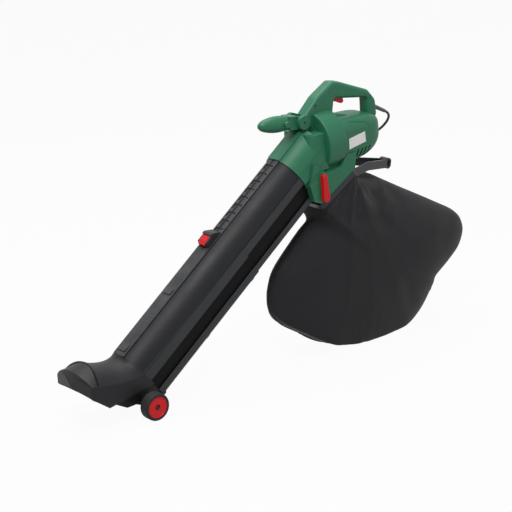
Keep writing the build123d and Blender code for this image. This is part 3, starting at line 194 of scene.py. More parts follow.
def tube_along(path, radius):
    """A circle carried along a path: each ring lies across the path, on axes taken from TUBE_AXIS."""
    p = np.asarray(path, float)
    way = np.roll(p, -1, axis=0) - np.roll(p, 1, axis=0)
    way[0], way[-1] = p[1] - p[0], p[-1] - p[-2]
    way /= np.linalg.norm(way, axis=1, keepdims=True)
    side = np.cross(way, TUBE_AXIS)
    side /= np.linalg.norm(side, axis=1, keepdims=True)
    over = np.cross(way, side)
    turn = np.linspace(0, 2 * pi, TUBE_SIDES, endpoint=False)
    c, s = np.cos(turn)[None, :, None], np.sin(turn)[None, :, None]
    rings = p[:, None] + radius * (c * side[:, None] + s * over[:, None])
    return rings, grid_faces(len(p), TUBE_SIDES, wrap_columns=True)


# Shader groups


def new_group(name, inputs, outputs):
    """Empty shader group with sockets: (type, name, default) for inputs and (type, name) for outputs."""
    group = bpy.data.node_groups.new(name, "ShaderNodeTree")
    for kind, label, value in inputs:
        socket = group.interface.new_socket(label, in_out="INPUT", socket_type=kind)
        if value is not None:
            socket.default_value = value
    for kind, label in outputs:
        group.interface.new_socket(label, in_out="OUTPUT", socket_type=kind)
    return group, group.nodes.new("NodeGroupInput"), group.nodes.new("NodeGroupOutput")


def feed(tree, value, socket):
    """Links an input to a socket, or sets it to a number, a vector or a colour."""
    if hasattr(value, "links"):
        tree.links.new(value, socket)
    elif socket.type == "RGBA":
        socket.default_value = (*value[:3], 1)
    else:
        socket.default_value = value


def noise(tree, vector, scale, detail, roughness):
    """Noise texture read at a vector socket, its scale a number or a socket."""
    node = tree.nodes.new("ShaderNodeTexNoise")
    node.inputs["Detail"].default_value = detail
    node.inputs["Roughness"].default_value = roughness
    tree.links.new(vector, node.inputs["Vector"])
    feed(tree, scale, node.inputs["Scale"])
    return node.outputs["Fac"]


def calc(tree, kind, a, b=0.5, clamp=False):
    """Math node of two sockets or numbers."""
    node = tree.nodes.new("ShaderNodeMath")
    node.operation = kind
    node.use_clamp = clamp
    for socket, value in zip(node.inputs, (a, b)):
        feed(tree, value, socket)
    return node.outputs[0]


def ramp(tree, value, low, high, to_low=0.0, to_high=1.0):
    """Map Range node, held between its ends."""
    node = tree.nodes.new("ShaderNodeMapRange")
    node.inputs["From Min"].default_value = low
    node.inputs["From Max"].default_value = high
    feed(tree, to_low, node.inputs["To Min"])
    feed(tree, to_high, node.inputs["To Max"])
    tree.links.new(value, node.inputs["Value"])
    return node.outputs["Result"]


def mix_colour(tree, factor, a, b):
    """Colour mix by a factor socket."""
    node = tree.nodes.new("ShaderNodeMix")
    node.data_type = "RGBA"
    tree.links.new(factor, node.inputs["Factor"])
    colour_sockets = [s for s in node.inputs if s.type == "RGBA"]
    for socket, value in zip(colour_sockets, (a, b)):
        feed(tree, value, socket)
    return [s for s in node.outputs if s.type == "RGBA"][0]


def grain_group():
    """Moulded grain: fine noise for the height, a broad one for shade and gloss."""
    group, start, end = new_group(
        "moulded grain",
        [("NodeSocketVector", "Vector", None), ("NodeSocketColor", "Color", (0.2, 0.2, 0.2, 1)),
         ("NodeSocketFloat", "Fine Scale", 900.0), ("NodeSocketFloat", "Patch Scale", 9.0),
         ("NodeSocketFloat", "Shade", 0.85), ("NodeSocketFloat", "Smooth", 0.35),
         ("NodeSocketFloat", "Rough", 0.5)],
        [("NodeSocketColor", "Color"), ("NodeSocketFloat", "Roughness"), ("NodeSocketFloat", "Height")])
    vector = start.outputs["Vector"]
    fine = noise(group, vector, start.outputs["Fine Scale"], detail=3.0, roughness=0.6)
    patch = noise(group, vector, start.outputs["Patch Scale"], detail=4.0, roughness=0.55)
    dark = group.nodes.new("ShaderNodeVectorMath")
    dark.operation = "SCALE"
    group.links.new(start.outputs["Color"], dark.inputs[0])
    group.links.new(start.outputs["Shade"], dark.inputs["Scale"])
    tone = mix_colour(group, ramp(group, patch, 0.35, 0.65), dark.outputs[0], start.outputs["Color"])
    speck = ramp(group, fine, 0.2, 0.8, 0.9, 1.08)
    lit = group.nodes.new("ShaderNodeVectorMath")
    lit.operation = "SCALE"
    group.links.new(tone, lit.inputs[0])
    group.links.new(speck, lit.inputs["Scale"])
    group.links.new(lit.outputs[0], end.inputs["Color"])
    gloss = calc(group, "ADD", calc(group, "MULTIPLY", patch, 0.6), calc(group, "MULTIPLY", fine, 0.4))
    matt = ramp(group, gloss, 0.35, 0.65, start.outputs["Smooth"], start.outputs["Rough"])
    group.links.new(matt, end.inputs["Roughness"])
    group.links.new(fine, end.inputs["Height"])
    return group


def dust_group():
    """Thin dust that lies where the surface faces up, broken by noise."""
    group, start, end = new_group(
        "settled dust",
        [("NodeSocketVector", "Vector", None), ("NodeSocketColor", "Color", (0.2, 0.2, 0.2, 1)),
         ("NodeSocketColor", "Dust", (0.3, 0.29, 0.27, 1)), ("NodeSocketFloat", "Amount", 0.1)],
        [("NodeSocketColor", "Color"), ("NodeSocketFloat", "Mask")])
    shape = group.nodes.new("ShaderNodeNewGeometry")
    split = group.nodes.new("ShaderNodeSeparateXYZ")
    group.links.new(shape.outputs["Normal"], split.inputs[0])
    up = ramp(group, split.outputs["Z"], 0.1, 0.95)
    broken = noise(group, start.outputs["Vector"], 26.0, detail=6.0, roughness=0.65)
    lying = calc(group, "MULTIPLY", up, ramp(group, broken, 0.35, 0.75))
    mask = calc(group, "MULTIPLY", lying, start.outputs["Amount"], clamp=True)
    group.links.new(mix_colour(group, mask, start.outputs["Color"], start.outputs["Dust"]), end.inputs["Color"])
    group.links.new(mask, end.inputs["Mask"])
    return group


def weave_group():
    """Plain weave: two crossed bands that pass over each other, with slubs in the yarn."""
    group, start, end = new_group(
        "bag weave",
        [("NodeSocketVector", "Vector", None), ("NodeSocketColor", "Color", (0.03, 0.03, 0.03, 1)),
         ("NodeSocketFloat", "Threads", 1.0)],
        [("NodeSocketColor", "Color"), ("NodeSocketFloat", "Roughness"), ("NodeSocketFloat", "Height")])
    split = group.nodes.new("ShaderNodeSeparateXYZ")
    group.links.new(start.outputs["Vector"], split.inputs[0])
    warp = calc(group, "MULTIPLY", split.outputs["X"], start.outputs["Threads"])
    weft = calc(group, "MULTIPLY", split.outputs["Y"], start.outputs["Threads"])
    over = calc(group, "ABSOLUTE", calc(group, "SINE", warp))
    under = calc(group, "ABSOLUTE", calc(group, "SINE", weft))
    slow_warp = calc(group, "SINE", calc(group, "MULTIPLY", warp, 0.5))
    slow_weft = calc(group, "SINE", calc(group, "MULTIPLY", weft, 0.5))
    cross = calc(group, "MULTIPLY", slow_warp, slow_weft)
    height = calc(group, "ADD", calc(group, "MAXIMUM", over, under), calc(group, "MULTIPLY", cross, 0.4))
    slub = noise(group, start.outputs["Vector"], 160.0, detail=3.0, roughness=0.6)
    broad = noise(group, start.outputs["Vector"], 7.0, detail=5.0, roughness=0.6)
    patchy = calc(group, "MULTIPLY", calc(group, "SUBTRACT", broad, 0.5), 0.7)
    tone = calc(group, "ADD", ramp(group, height, 0.3, 1.4, 0.75, 1.1), patchy)
    lit = group.nodes.new("ShaderNodeVectorMath")
    lit.operation = "SCALE"
    group.links.new(start.outputs["Color"], lit.inputs[0])
    group.links.new(tone, lit.inputs["Scale"])
    group.links.new(lit.outputs[0], end.inputs["Color"])
    group.links.new(ramp(group, broad, 0.3, 0.7, 0.58, 0.74), end.inputs["Roughness"])
    group.links.new(calc(group, "ADD", height, calc(group, "MULTIPLY", slub, 0.8)), end.inputs["Height"])
    return group


def place_group(tree, name, build, **values):
    """A group node in a material, its group built at the first use and its sockets fed with the values."""
    node = tree.nodes.new("ShaderNodeGroup")
    node.node_tree = bpy.data.node_groups.get(name) or build()
    for label, value in values.items():
        feed(tree, value, node.inputs[label.replace("_", " ").title()])
    return node


def new_material(name):
    """Material with its tree, its Principled shader and Object coordinates."""
    material = bpy.data.materials.new(name)
    material.use_nodes = True
    tree = material.node_tree
    shader = tree.nodes["Principled BSDF"]
    where = tree.nodes.new("ShaderNodeTexCoord")
    return material, tree, shader, where


def bump(tree, shader, height, strength, distance):
    """Bump node from a height socket to the shader's normal."""
    node = tree.nodes.new("ShaderNodeBump")
    node.inputs["Strength"].default_value = strength
    node.inputs["Distance"].default_value = distance
    tree.links.new(height, node.inputs["Height"])
    tree.links.new(node.outputs["Normal"], shader.inputs["Normal"])


def moulded(name, colour, fine, shade, smooth, rough, grain, dust=0.08, coat=0.0, shine=0.4):
    """Moulded plastic or rubber: grain for gloss and height, a little settled dust, and a clear coat if any."""
    material, tree, shader, where = new_material(name)
    grit = place_group(tree, "moulded grain", grain_group, vector=where.outputs["Object"], color=colour,
                       fine_scale=fine, shade=shade, smooth=smooth, rough=rough)
    film = place_group(tree, "settled dust", dust_group, vector=where.outputs["Object"],
                       color=grit.outputs["Color"], amount=dust)
    tree.links.new(film.outputs["Color"], shader.inputs["Base Color"])
    tree.links.new(grit.outputs["Roughness"], shader.inputs["Roughness"])
    shader.inputs["Specular IOR Level"].default_value = shine
    shader.inputs["Coat Weight"].default_value = coat
    shader.inputs["Coat Roughness"].default_value = 0.12
    bump(tree, shader, grit.outputs["Height"], strength=grain, distance=0.0004)
    return material


def metal(name, colour, rough, stretch):
    """Worked metal: fine lines along one axis in the roughness and the height."""
    material, tree, shader, where = new_material(name)
    turn = tree.nodes.new("ShaderNodeMapping")
    turn.inputs["Scale"].default_value = stretch
    tree.links.new(where.outputs["Object"], turn.inputs["Vector"])
    grit = place_group(tree, "moulded grain", grain_group, vector=turn.outputs["Vector"], color=colour,
                       fine_scale=300.0, shade=0.8, smooth=rough, rough=rough + 0.2)
    tree.links.new(grit.outputs["Color"], shader.inputs["Base Color"])
    tree.links.new(grit.outputs["Roughness"], shader.inputs["Roughness"])
    shader.inputs["Metallic"].default_value = 1.0
    bump(tree, shader, grit.outputs["Height"], strength=0.2, distance=0.0002)
    return material


def pale_rays(tree):
    """One for camera, transmission and glossy rays, which see the pale surroundings, and else nought."""
    path = tree.nodes.new("ShaderNodeLightPath")
    seen = calc(tree, "MAXIMUM", path.outputs["Is Camera Ray"], path.outputs["Is Transmission Ray"])
    return calc(tree, "MAXIMUM", seen, path.outputs["Is Glossy Ray"])


def dress(material, *nodes):
    """Gives CAD nodes a material in their first slot."""
    for name in nodes:
        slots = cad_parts[name].data.materials
        slots.clear()
        slots.append(material)


# Cord: the route's points in mm from the axle (back, right, high)
CORD_ROUTE = [
    (934, 0, 666), (951.9, 0, 657.05), (957, 9, 634), (947, 30, 607), (925, 55, 585),
    (898, 76, 566), (876, 92, 540), (863, 101, 508), (857, 106, 474), (855, 108, 441),
]
CORD_DIAMETER = 0.0075


class BLOWER_OT_cord(bpy.types.Operator):
    """Mains lead that hangs from the strain relief to its plug"""

    bl_idname = "blower.cord"
    bl_label = "Power cord"

    def execute(self, context):
        curve = bpy.data.curves.new("mains_lead", "CURVE")
        curve.dimensions = "3D"
        route = np.asarray(CORD_ROUTE, float)
        route[:, 0] -= MIDDLE
        route /= 1000
        spline = curve.splines.new("NURBS")
        spline.points.add(len(route) - 1)
        spline.points.foreach_set("co", np.column_stack([route, np.ones(len(route))]).ravel())
        spline.order_u = 3
        spline.use_endpoint_u = True
        spline.resolution_u = 12
        curve.bevel_depth = CORD_DIAMETER / 2
        curve.bevel_resolution = 6
        curve.use_fill_caps = True
        lead = bpy.data.objects.new("mains_lead", curve)
        context.scene.collection.objects.link(lead)
        lead.data.materials.append(
            moulded("cord sheath", (0.020, 0.020, 0.022),
                    fine=700.0, shade=0.85, smooth=0.38, rough=0.5, grain=0.08, dust=0.04))
        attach(lead, "housing")
        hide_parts("power_cord")
        return {"FINISHED"}


# Bag: outline in side view (back, high) and half width of its edge, mm from the axle, from the collar's front
BAG_OUTLINE = [
    (640, 453, 71), (700, 491, 71), (750, 522, 71), (776, 509, 60), (820, 503, 30), (860, 497, 8),
    (931, 460, 0), (991, 428, 0), (1072, 386, 0), (1155, 342, 0), (1197, 319, 0), (1226, 296, 0),
    (1241, 269, 0), (1244, 240, 0), (1226, 199, 0), (1184, 162, 0), (1128, 122, 0), (1116, 98, 4),
    (1074, 49, 12), (1021, 20, 30), (960, 6, 50), (882, 1, 60), (812, 1, 64), (760, 5, 67),
    (700, 16, 68), (646, 36, 66), (580, 77, 54), (513, 121, 32), (479, 166, 10), (474, 205, 0),
    (480, 238, 0), (498, 279, 0), (550, 332, 0), (603, 377, 0), (640, 397, 6), (645, 418, 30),
    (641, 440, 64),
]
BAG_HEART = (850, 240)
# Folds: near end and far end in side view, width in mm and depth as a share of the crease depth
BAG_FOLDS = [
    ((640, 425), (900, 356), 24, 1.0),
    ((671, 445), (735, 492), 7, 0.45),
    ((690, 440), (745, 494), 6, -0.35),
    ((706, 443), (752, 499), 7, 0.45),
    ((728, 444), (763, 503), 6, -0.35),
    ((745, 438), (778, 500), 8, 0.45),
    ((781, 480), (872, 472), 14, -0.5),
    ((788, 456), (886, 446), 15, 0.6),
    ((816, 452), (872, 404), 16, 0.6),
    ((900, 455), (960, 385), 22, 0.35),
    ((604, 371), (566, 210), 20, 0.35),
    ((1200, 310), (1080, 250), 30, 0.35),
    ((980, 50), (930, 190), 34, 0.3),
    ((700, 40), (740, 170), 34, 0.3),
]
FOLD_END_POWER = 0.7
FOLD_EASE = (3.0, 9.0)
# The far side has the same folds, shallower and moved by this much in metres
FAR_FOLDS = 0.8
FAR_SHIFT = (0.02, -0.015)
PUFF_POWERS = (2.4, 0.7)
BAG_RING = 240
BAG_REACH = 44
BAG_FRAMES = 22
# Bag lengths in metres: seam, mesh, cloth, and how it rests on the ground
SEAM_HALF = 0.0075
SEAM_PROBE = 0.05
BAG_VOXEL = 0.0065
BAG_GIVE = 0.005
BAG_HELD = 0.012
GROUND_ROUND = 0.004
GROUND_LIFT = 0.0006
GROUND_EASE = 0.0004


def fold_depth(x, z, folds):
    """Sum of grooves: each is a bell across its line times a sine along it, zero at both ends."""
    total = np.zeros_like(x)
    for near, far, wide, deep in folds:
        (ax, az), (bx, bz) = from_axle([near, far])
        long = np.hypot(bx - ax, bz - az)
        along = ((x - ax) * (bx - ax) + (z - az) * (bz - az)) / long**2
        across = ((x - ax) * (bz - az) - (z - az) * (bx - ax)) / long
        inside = np.clip(along, 0, 1)
        total += deep * np.exp(-((across * 1000 / wide) ** 2)) * np.sin(pi * inside) ** FOLD_END_POWER
    return total


def bag_edge():
    """The bag's outline (x, z) in metres at even steps, and the half width of its edge there."""
    rows = closed_spline(BAG_OUTLINE, BAG_RING)
    return from_axle(rows[:, :2]), np.maximum(rows[:, 2] / 1000, SEAM_HALF)


def on_seam(bag, outline):
    """Where lines from outside the outline to the bag's heart, in the middle plane, meet the bag."""
    tree = BVHTree.FromObject(bag, bpy.context.evaluated_depsgraph_get())
    hx, hz = from_axle([BAG_HEART])[0]
    heart = Vector((hx, 0, hz))
    places = []
    for x, z in outline:
        way = (heart - Vector((x, 0, z))).normalized()
        hit = tree.ray_cast(Vector((x, 0, z)) - way * SEAM_PROBE, way)[0]
        places.append(tuple(hit) if hit else (x, 0, z))
    return np.array(places)


def bag_surface(half, crease):
    """The bag as rings that shrink from its outline to its heart, on both sides of the seam.

    At share r of the way from heart to outline the half width is edge + (half - edge)(1 - r^p)^q, with
    p and q in PUFF_POWERS, less the folds; edge is SEAM_HALF at a seam and wider under the collar."""
    outline, edge = bag_edge()
    heart = from_axle([BAG_HEART])[0]
    share = np.sin(np.linspace(pi / 2, 0, BAG_REACH))
    plane = heart + (outline - heart)[:, None, :] * share[None, :, None]
    x, z = plane[..., 0], plane[..., 1]
    puff = (1 - share ** PUFF_POWERS[0]) ** PUFF_POWERS[1]
    full = edge[:, None] + (half - edge[:, None]) * puff[None, :]
    ease = np.clip(puff * FOLD_EASE[0] + edge[:, None] * FOLD_EASE[1], 0, 1)
    near = full - crease * fold_depth(x, z, BAG_FOLDS) * ease
    moved = fold_depth(x + FAR_SHIFT[0], z + FAR_SHIFT[1], BAG_FOLDS)
    far = full - FAR_FOLDS * crease * moved * ease
    strip = [np.stack([x[:, 0], edge * k, z[:, 0]], axis=-1)[:, None] for k in (-0.5, 0.0, 0.5)]
    left = np.stack([x, -near, z], axis=-1)
    right = np.stack([x, far, z], axis=-1)
    return np.concatenate([left[:, ::-1], *strip, right], axis=1)


def settle(piece, held, frames, give):
    """Runs the piece as cloth with spare length and a little pressure.

    A point that the cloth moves by d ends at give tanh(d / give) from its start."""
    scene = bpy.context.scene
    piece.vertex_groups.new(name="held").add(np.flatnonzero(held).tolist(), 1.0, "REPLACE")
    cloth = piece.modifiers.new("settle", "CLOTH")
    cloth.settings.vertex_group_mass = "held"
    cloth.settings.quality = 5
    cloth.settings.mass = 0.2
    cloth.settings.tension_stiffness = 20
    cloth.settings.compression_stiffness = 20
    cloth.settings.shear_stiffness = 8
    cloth.settings.bending_stiffness = 2
    cloth.settings.shrink_min = -0.02
    cloth.settings.use_pressure = True
    cloth.settings.uniform_pressure_force = 1.0
    cloth.settings.effector_weights.gravity = 0.25
    cloth.point_cache.frame_start = 1
    cloth.point_cache.frame_end = frames
    for step in range(1, frames + 1):
        scene.frame_set(step)
    moved = piece.evaluated_get(bpy.context.evaluated_depsgraph_get()).data
    count = len(piece.data.vertices)
    start, end = np.empty(count * 3), np.empty(count * 3)
    piece.data.vertices.foreach_get("co", start)
    moved.vertices.foreach_get("co", end)
    move = (end - start).reshape(-1, 3)
    far = np.linalg.norm(move, axis=1, keepdims=True) + 1e-9
    piece.modifiers.remove(cloth)
    rest = start.reshape(-1, 3) + move * give * np.tanh(far / give) / far
    piece.data.vertices.foreach_set("co", rest.ravel())
    piece.data.update()
    scene.frame_set(1)


class BLOWER_OT_bag(bpy.types.Operator):
    """Collecting bag of woven cloth, hung from its frame and slumped on the ground"""

    bl_idname = "blower.bag"
    bl_label = "Collecting bag"

    def execute(self, context):
        sizes = context.scene.blower_sizes
        rings = bag_surface(sizes.bag_half, sizes.crease)
        bag = add_mesh("bag_cloth", rings, grid_faces(*rings.shape[:2], wrap_rows=True))
        point_outwards(bag, merge=1e-5)
        bag.data.remesh_voxel_size = BAG_VOXEL
        bpy.ops.object.voxel_remesh()
        points = np.empty(len(bag.data.vertices) * 3)
        bag.data.vertices.foreach_get("co", points)
        x, _, z = points.reshape(-1, 3).T
        (fx, fz), (rx, rz) = from_axle([BAG_OUTLINE[0][:2], BAG_OUTLINE[2][:2]])
        below = ((x - fx) * (rz - fz) - (z - fz) * (rx - fx)) / np.hypot(rx - fx, rz - fz)
        settle(bag, below < BAG_HELD, BAG_FRAMES, BAG_GIVE)
        points = np.empty(len(bag.data.vertices) * 3)
        bag.data.vertices.foreach_get("co", points)
        points = points.reshape(-1, 3)
        high = points[:, 2]
        points[:, 2] = GROUND_LIFT + 0.5 * (high + np.sqrt(high**2 + GROUND_ROUND**2) - GROUND_EASE)
        bag.data.vertices.foreach_set("co", points.ravel())
        bag.data.update()
        bag.data.polygons.foreach_set("use_smooth", np.full(len(bag.data.polygons), True))
        smooth = bag.modifiers.new("soft folds", "SUBSURF")
        smooth.levels = smooth.render_levels = 1
        material, tree, shader, where = new_material("bag cloth")
        turn = tree.nodes.new("ShaderNodeMapping")
        turn.inputs["Rotation"].default_value = (radians(-90), 0, radians(38))
        tree.links.new(where.outputs["Object"], turn.inputs["Vector"])
        weave = place_group(tree, "bag weave", weave_group, vector=turn.outputs["Vector"],
                            color=tuple(context.scene.blower_colours.bag), threads=2800.0)
        tree.links.new(weave.outputs["Color"], shader.inputs["Base Color"])
        tree.links.new(weave.outputs["Roughness"], shader.inputs["Roughness"])
        shader.inputs["Specular IOR Level"].default_value = 0.16
        shader.inputs["Sheen Weight"].default_value = 0.06
        shader.inputs["Sheen Roughness"].default_value = 0.5
        bump(tree, shader, weave.outputs["Height"], strength=0.2, distance=0.0004)
        bag.data.materials.append(material)
        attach(bag, "housing")
        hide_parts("bag")
        return {"FINISHED"}


# Zip: its two ends on the bag's lower edge in side view, mm from the axle
ZIP_ENDS = [(1128, 122), (580, 77)]
ZIP_TOOTH = (0.0012, 0.0034, 0.0014)
ZIP_SLIDER = (0.010, 0.008, 0.005)
ZIP_PULL = (0.022, 0.006, 0.0014)
ZIP_MARGIN = 0.02
ZIP_BEVEL = 0.0006
# The tooth that the slider sits on, how far out it sits, and where its pull lies (along, out)
SLIDER_TOOTH = 3
SLIDER_OUT = 0.001
PULL_AT = (0.014, 0.004)
# Shares of the binding's radius: the zip's tape, and the least height of the seam
TAPE_SHARE = 1.5
SEAM_CLEAR = 1.6
# The seam is bound where the bag's edge is thin, and all along the ground
BOUND_THIN = 0.012
BOUND_LOW = 0.15


def box_on(at, way, out, size):
    """Eight corners of a box of that size at a point, its length along way and its height along out."""
    side = np.cross(out, way)
    ends = (-0.5, 0.5)
    turn = np.array([(a, b, c) for a in ends for b in ends for c in ends]) * np.asarray(size)
    return at + turn[:, :1] * way + turn[:, 1:2] * side + turn[:, 2:] * out


BOX_FACES = np.array([(0, 1, 3, 2), (4, 6, 7, 5), (0, 4, 5, 1), (2, 3, 7, 6), (0, 2, 6, 4), (1, 5, 7, 3)])


class BLOWER_OT_bag_trim(bpy.types.Operator):
    """Bound seam round the bag and the zip along its lower edge"""

    bl_idname = "blower.bag_trim"
    bl_label = "Bag binding and zip"

    def execute(self, context):
        sizes = context.scene.blower_sizes
        outline, edge = bag_edge()
        loop = on_seam(bpy.data.objects["bag_cloth"], outline)
        loop[:, 2] = np.maximum(loop[:, 2], SEAM_CLEAR * sizes.binding)
        free = (edge < BOUND_THIN) | (outline[:, 1] < BOUND_LOW)
        first = int(np.argmax(free & ~np.roll(free, 1)))
        seam = np.roll(loop, -first, axis=0)[: int(free.sum())]
        rings, faces = tube_along(seam, sizes.binding)
        binding = add_mesh("bag_binding", rings, faces)
        tape = moulded("binding tape", (0.014, 0.014, 0.015),
                       fine=1500.0, shade=0.8, smooth=0.6, rough=0.75, grain=0.3, dust=0.02, shine=0.2)
        binding.data.materials.append(tape)
        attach(binding, "housing")

        ends = [int(np.argmin(np.linalg.norm(outline - p, axis=1))) for p in from_axle(ZIP_ENDS)]
        path = loop[ends[0]:ends[1]]
        rings, faces = tube_along(path, sizes.binding * TAPE_SHARE)
        band = add_mesh("zip_tape", rings, faces)
        band.data.materials.append(tape)
        along = np.concatenate([[0], np.cumsum(np.linalg.norm(np.diff(path, axis=0), axis=1))])
        even = np.linspace(ZIP_MARGIN, along[-1] - ZIP_MARGIN, sizes.zip_teeth)
        at = np.stack([np.interp(even, along, path[:, i]) for i in range(3)], axis=1)
        way = np.gradient(at, axis=0)
        way /= np.linalg.norm(way, axis=1, keepdims=True)
        out = np.cross(way, (0.0, 1.0, 0.0))
        heart_x, heart_z = from_axle([BAG_HEART])[0]
        out *= np.sign((out * (at - (heart_x, 0, heart_z))).sum(1))[:, None]
        at = at + out * sizes.binding * TAPE_SHARE
        corners = np.concatenate([box_on(a, w, o, ZIP_TOOTH) for a, w, o in zip(at, way, out)])
        faces = np.concatenate([BOX_FACES + 8 * i for i in range(len(at))])
        teeth = add_mesh("zip_teeth", corners, faces, smooth=False)
        teeth.data.materials.append(
            moulded("zip nylon", (0.018, 0.018, 0.019),
                    fine=900.0, shade=0.85, smooth=0.3, rough=0.45, grain=0.1, dust=0.02))
        a, w, o = at[SLIDER_TOOTH], way[SLIDER_TOOTH], out[SLIDER_TOOTH]
        slide = box_on(a + o * SLIDER_OUT, w, o, ZIP_SLIDER)
        pull = box_on(a + w * PULL_AT[0] + o * PULL_AT[1], w, o, ZIP_PULL)
        slider = add_mesh("zip_slider", np.concatenate([slide, pull]),
                          np.concatenate([BOX_FACES, BOX_FACES + 8]), smooth=False)
        rim = slider.modifiers.new("rounded", "BEVEL")
        rim.width = ZIP_BEVEL
        rim.segments = 2
        slider.data.materials.append(
            metal("zip metal", (0.10, 0.10, 0.105), rough=0.35, stretch=(1.0, 4.0, 1.0)))
        for piece in (band, teeth, slider):
            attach(piece, "housing")
        return {"FINISHED"}


# Plate: corners in side view, mm from the axle, clockwise from the upper front
PLATE_CORNERS = [(734, 629), (796, 640), (800, 610), (734, 598)]
PLATE_GRID = 24


class BLOWER_OT_plate(bpy.types.Operator):
    """Bare plate that follows the motor barrel's curve"""

    bl_idname = "blower.plate"
    bl_label = "Bare plate"

    def execute(self, context):
        thick = context.scene.blower_sizes.plate
        tree = BVHTree.FromObject(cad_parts["housing_left"], context.evaluated_depsgraph_get())
        a, b, c, d = (np.asarray(p, float) for p in PLATE_CORNERS)
        step = np.linspace(0, 1, PLATE_GRID)
        s, t = np.meshgrid(step, step, indexing="ij")
        s, t = s[..., None], t[..., None]
        places = (a * (1 - s) + b * s) * (1 - t) + (d * (1 - s) + c * s) * t
        outer, inner = [], []
        for x, z in from_axle(places.reshape(-1, 2)):
            hit, normal, _, _ = tree.ray_cast(Vector((x, -1, z)), Vector((0, 1, 0)))
            if hit is None:
                raise RuntimeError("the plate misses the housing")
            outer.append(hit + normal * thick)
            inner.append(hit - normal * thick)
        plate = closed_slab("bare_plate", np.array(outer), np.array(inner), (PLATE_GRID, PLATE_GRID))
        plate.data.materials.append(
            moulded("plate film", (0.74, 0.74, 0.73),
                    fine=500.0, shade=0.95, smooth=0.3, rough=0.42, grain=0.04, dust=0.04, coat=0.3))
        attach(plate, "housing")
        return {"FINISHED"}


# Nozzle front: (back, high) of its tip and heel and (back, right) of its corner, mm from the axle; its
# thickness and gaps in mm, its share of the lip's width, and the height in metres that rays start from
LIP_TIP = (-193, 115)
LIP_HEEL = (-178, 98)
LIP_CORNER = (-181.6, 82)
LIP_WALL = 2.6
LIP_SET_BACK = 0.05
LIP_PROBE = 1.2
LIP_UNDER_HOOD = 0.6
LIP_REACH = 0.985
LIP_ABOVE = 0.4
LIP_GRID = (64, 8)


class BLOWER_OT_nozzle_front(bpy.types.Operator):
    """Two flat faces that close the nozzle's front and meet in a ridge"""

    bl_idname = "blower.nozzle_front"
    bl_label = "Nozzle front"

    def execute(self, context):
        """At share s across, x runs from tip to corner with |s|, and z from the lip's slope to the hood."""
        tree = BVHTree.FromObject(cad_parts["nozzle"], context.evaluated_depsgraph_get())
        s = np.linspace(-LIP_REACH, LIP_REACH, LIP_GRID[0])
        x = LIP_TIP[0] + (LIP_CORNER[0] - LIP_TIP[0]) * np.abs(s)
        y = LIP_CORNER[1] * s
        low = LIP_HEEL[1] + (LIP_HEEL[0] - x) * (LIP_TIP[1] - LIP_HEEL[1]) / (LIP_HEEL[0] - LIP_TIP[0])
        high = []
        for at_x, at_y in zip(x, y):
            start = Vector(((at_x + LIP_PROBE - MIDDLE) / 1000, at_y / 1000, LIP_ABOVE))
            hit = tree.ray_cast(start, Vector((0, 0, -1)))[0]
            if hit is None:
                raise RuntimeError("the nozzle's hood is not above its front")
            high.append(1000 * hit.z)
        rise = np.linspace(0, 1, LIP_GRID[1])[None, :]
        z = low[:, None] + (np.array(high) - LIP_UNDER_HOOD - low)[:, None] * rise
        x, y = np.broadcast_to(x[:, None], z.shape), np.broadcast_to(y[:, None], z.shape)
        outer, inner = (
            np.stack([x + back - MIDDLE, y, z], axis=-1).reshape(-1, 3) / 1000
            for back in (LIP_SET_BACK, LIP_WALL))
        front = closed_slab("nozzle_front", outer, inner, z.shape, smooth=False)
        front.data.materials.append(bpy.data.materials["duct moulding"])
        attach(front, "lower_tube")
        return {"FINISHED"}


# Duct faces that get painted light and painted shade: heights square to the ducts and half widths, mm from the
# axle; the tilt is in degrees
DUCT_TILT = 38
AXLE_HIGH = 38
DUCT_START = 50
DUCT_NEST = 3.4
LAND_HIGH = 124.5
LAND_HALF = 24
STRIP_HIGH = (34, 64)
STRIP_HALF = 66.5
FLANK_HIGH = (-30, -10)
FLANK_HALF = 60
GROOVE_HIGH = (-10, 34)
GROOVE_NESTS = 2.5
# Least share of a face's normal: along its direction if it is flat, and out or up in a groove
FLAT_FACING = 0.95
GROOVE_OUT = 0.5
GROOVE_UP = 0.7
# Tones of the two finishes, as shares of the tube's colour: painted light on the flat outer faces and painted
# shade in the grooves
PAINTED_LIGHT_TONE = 3.0
PAINTED_SHADE_TONE = 0.35


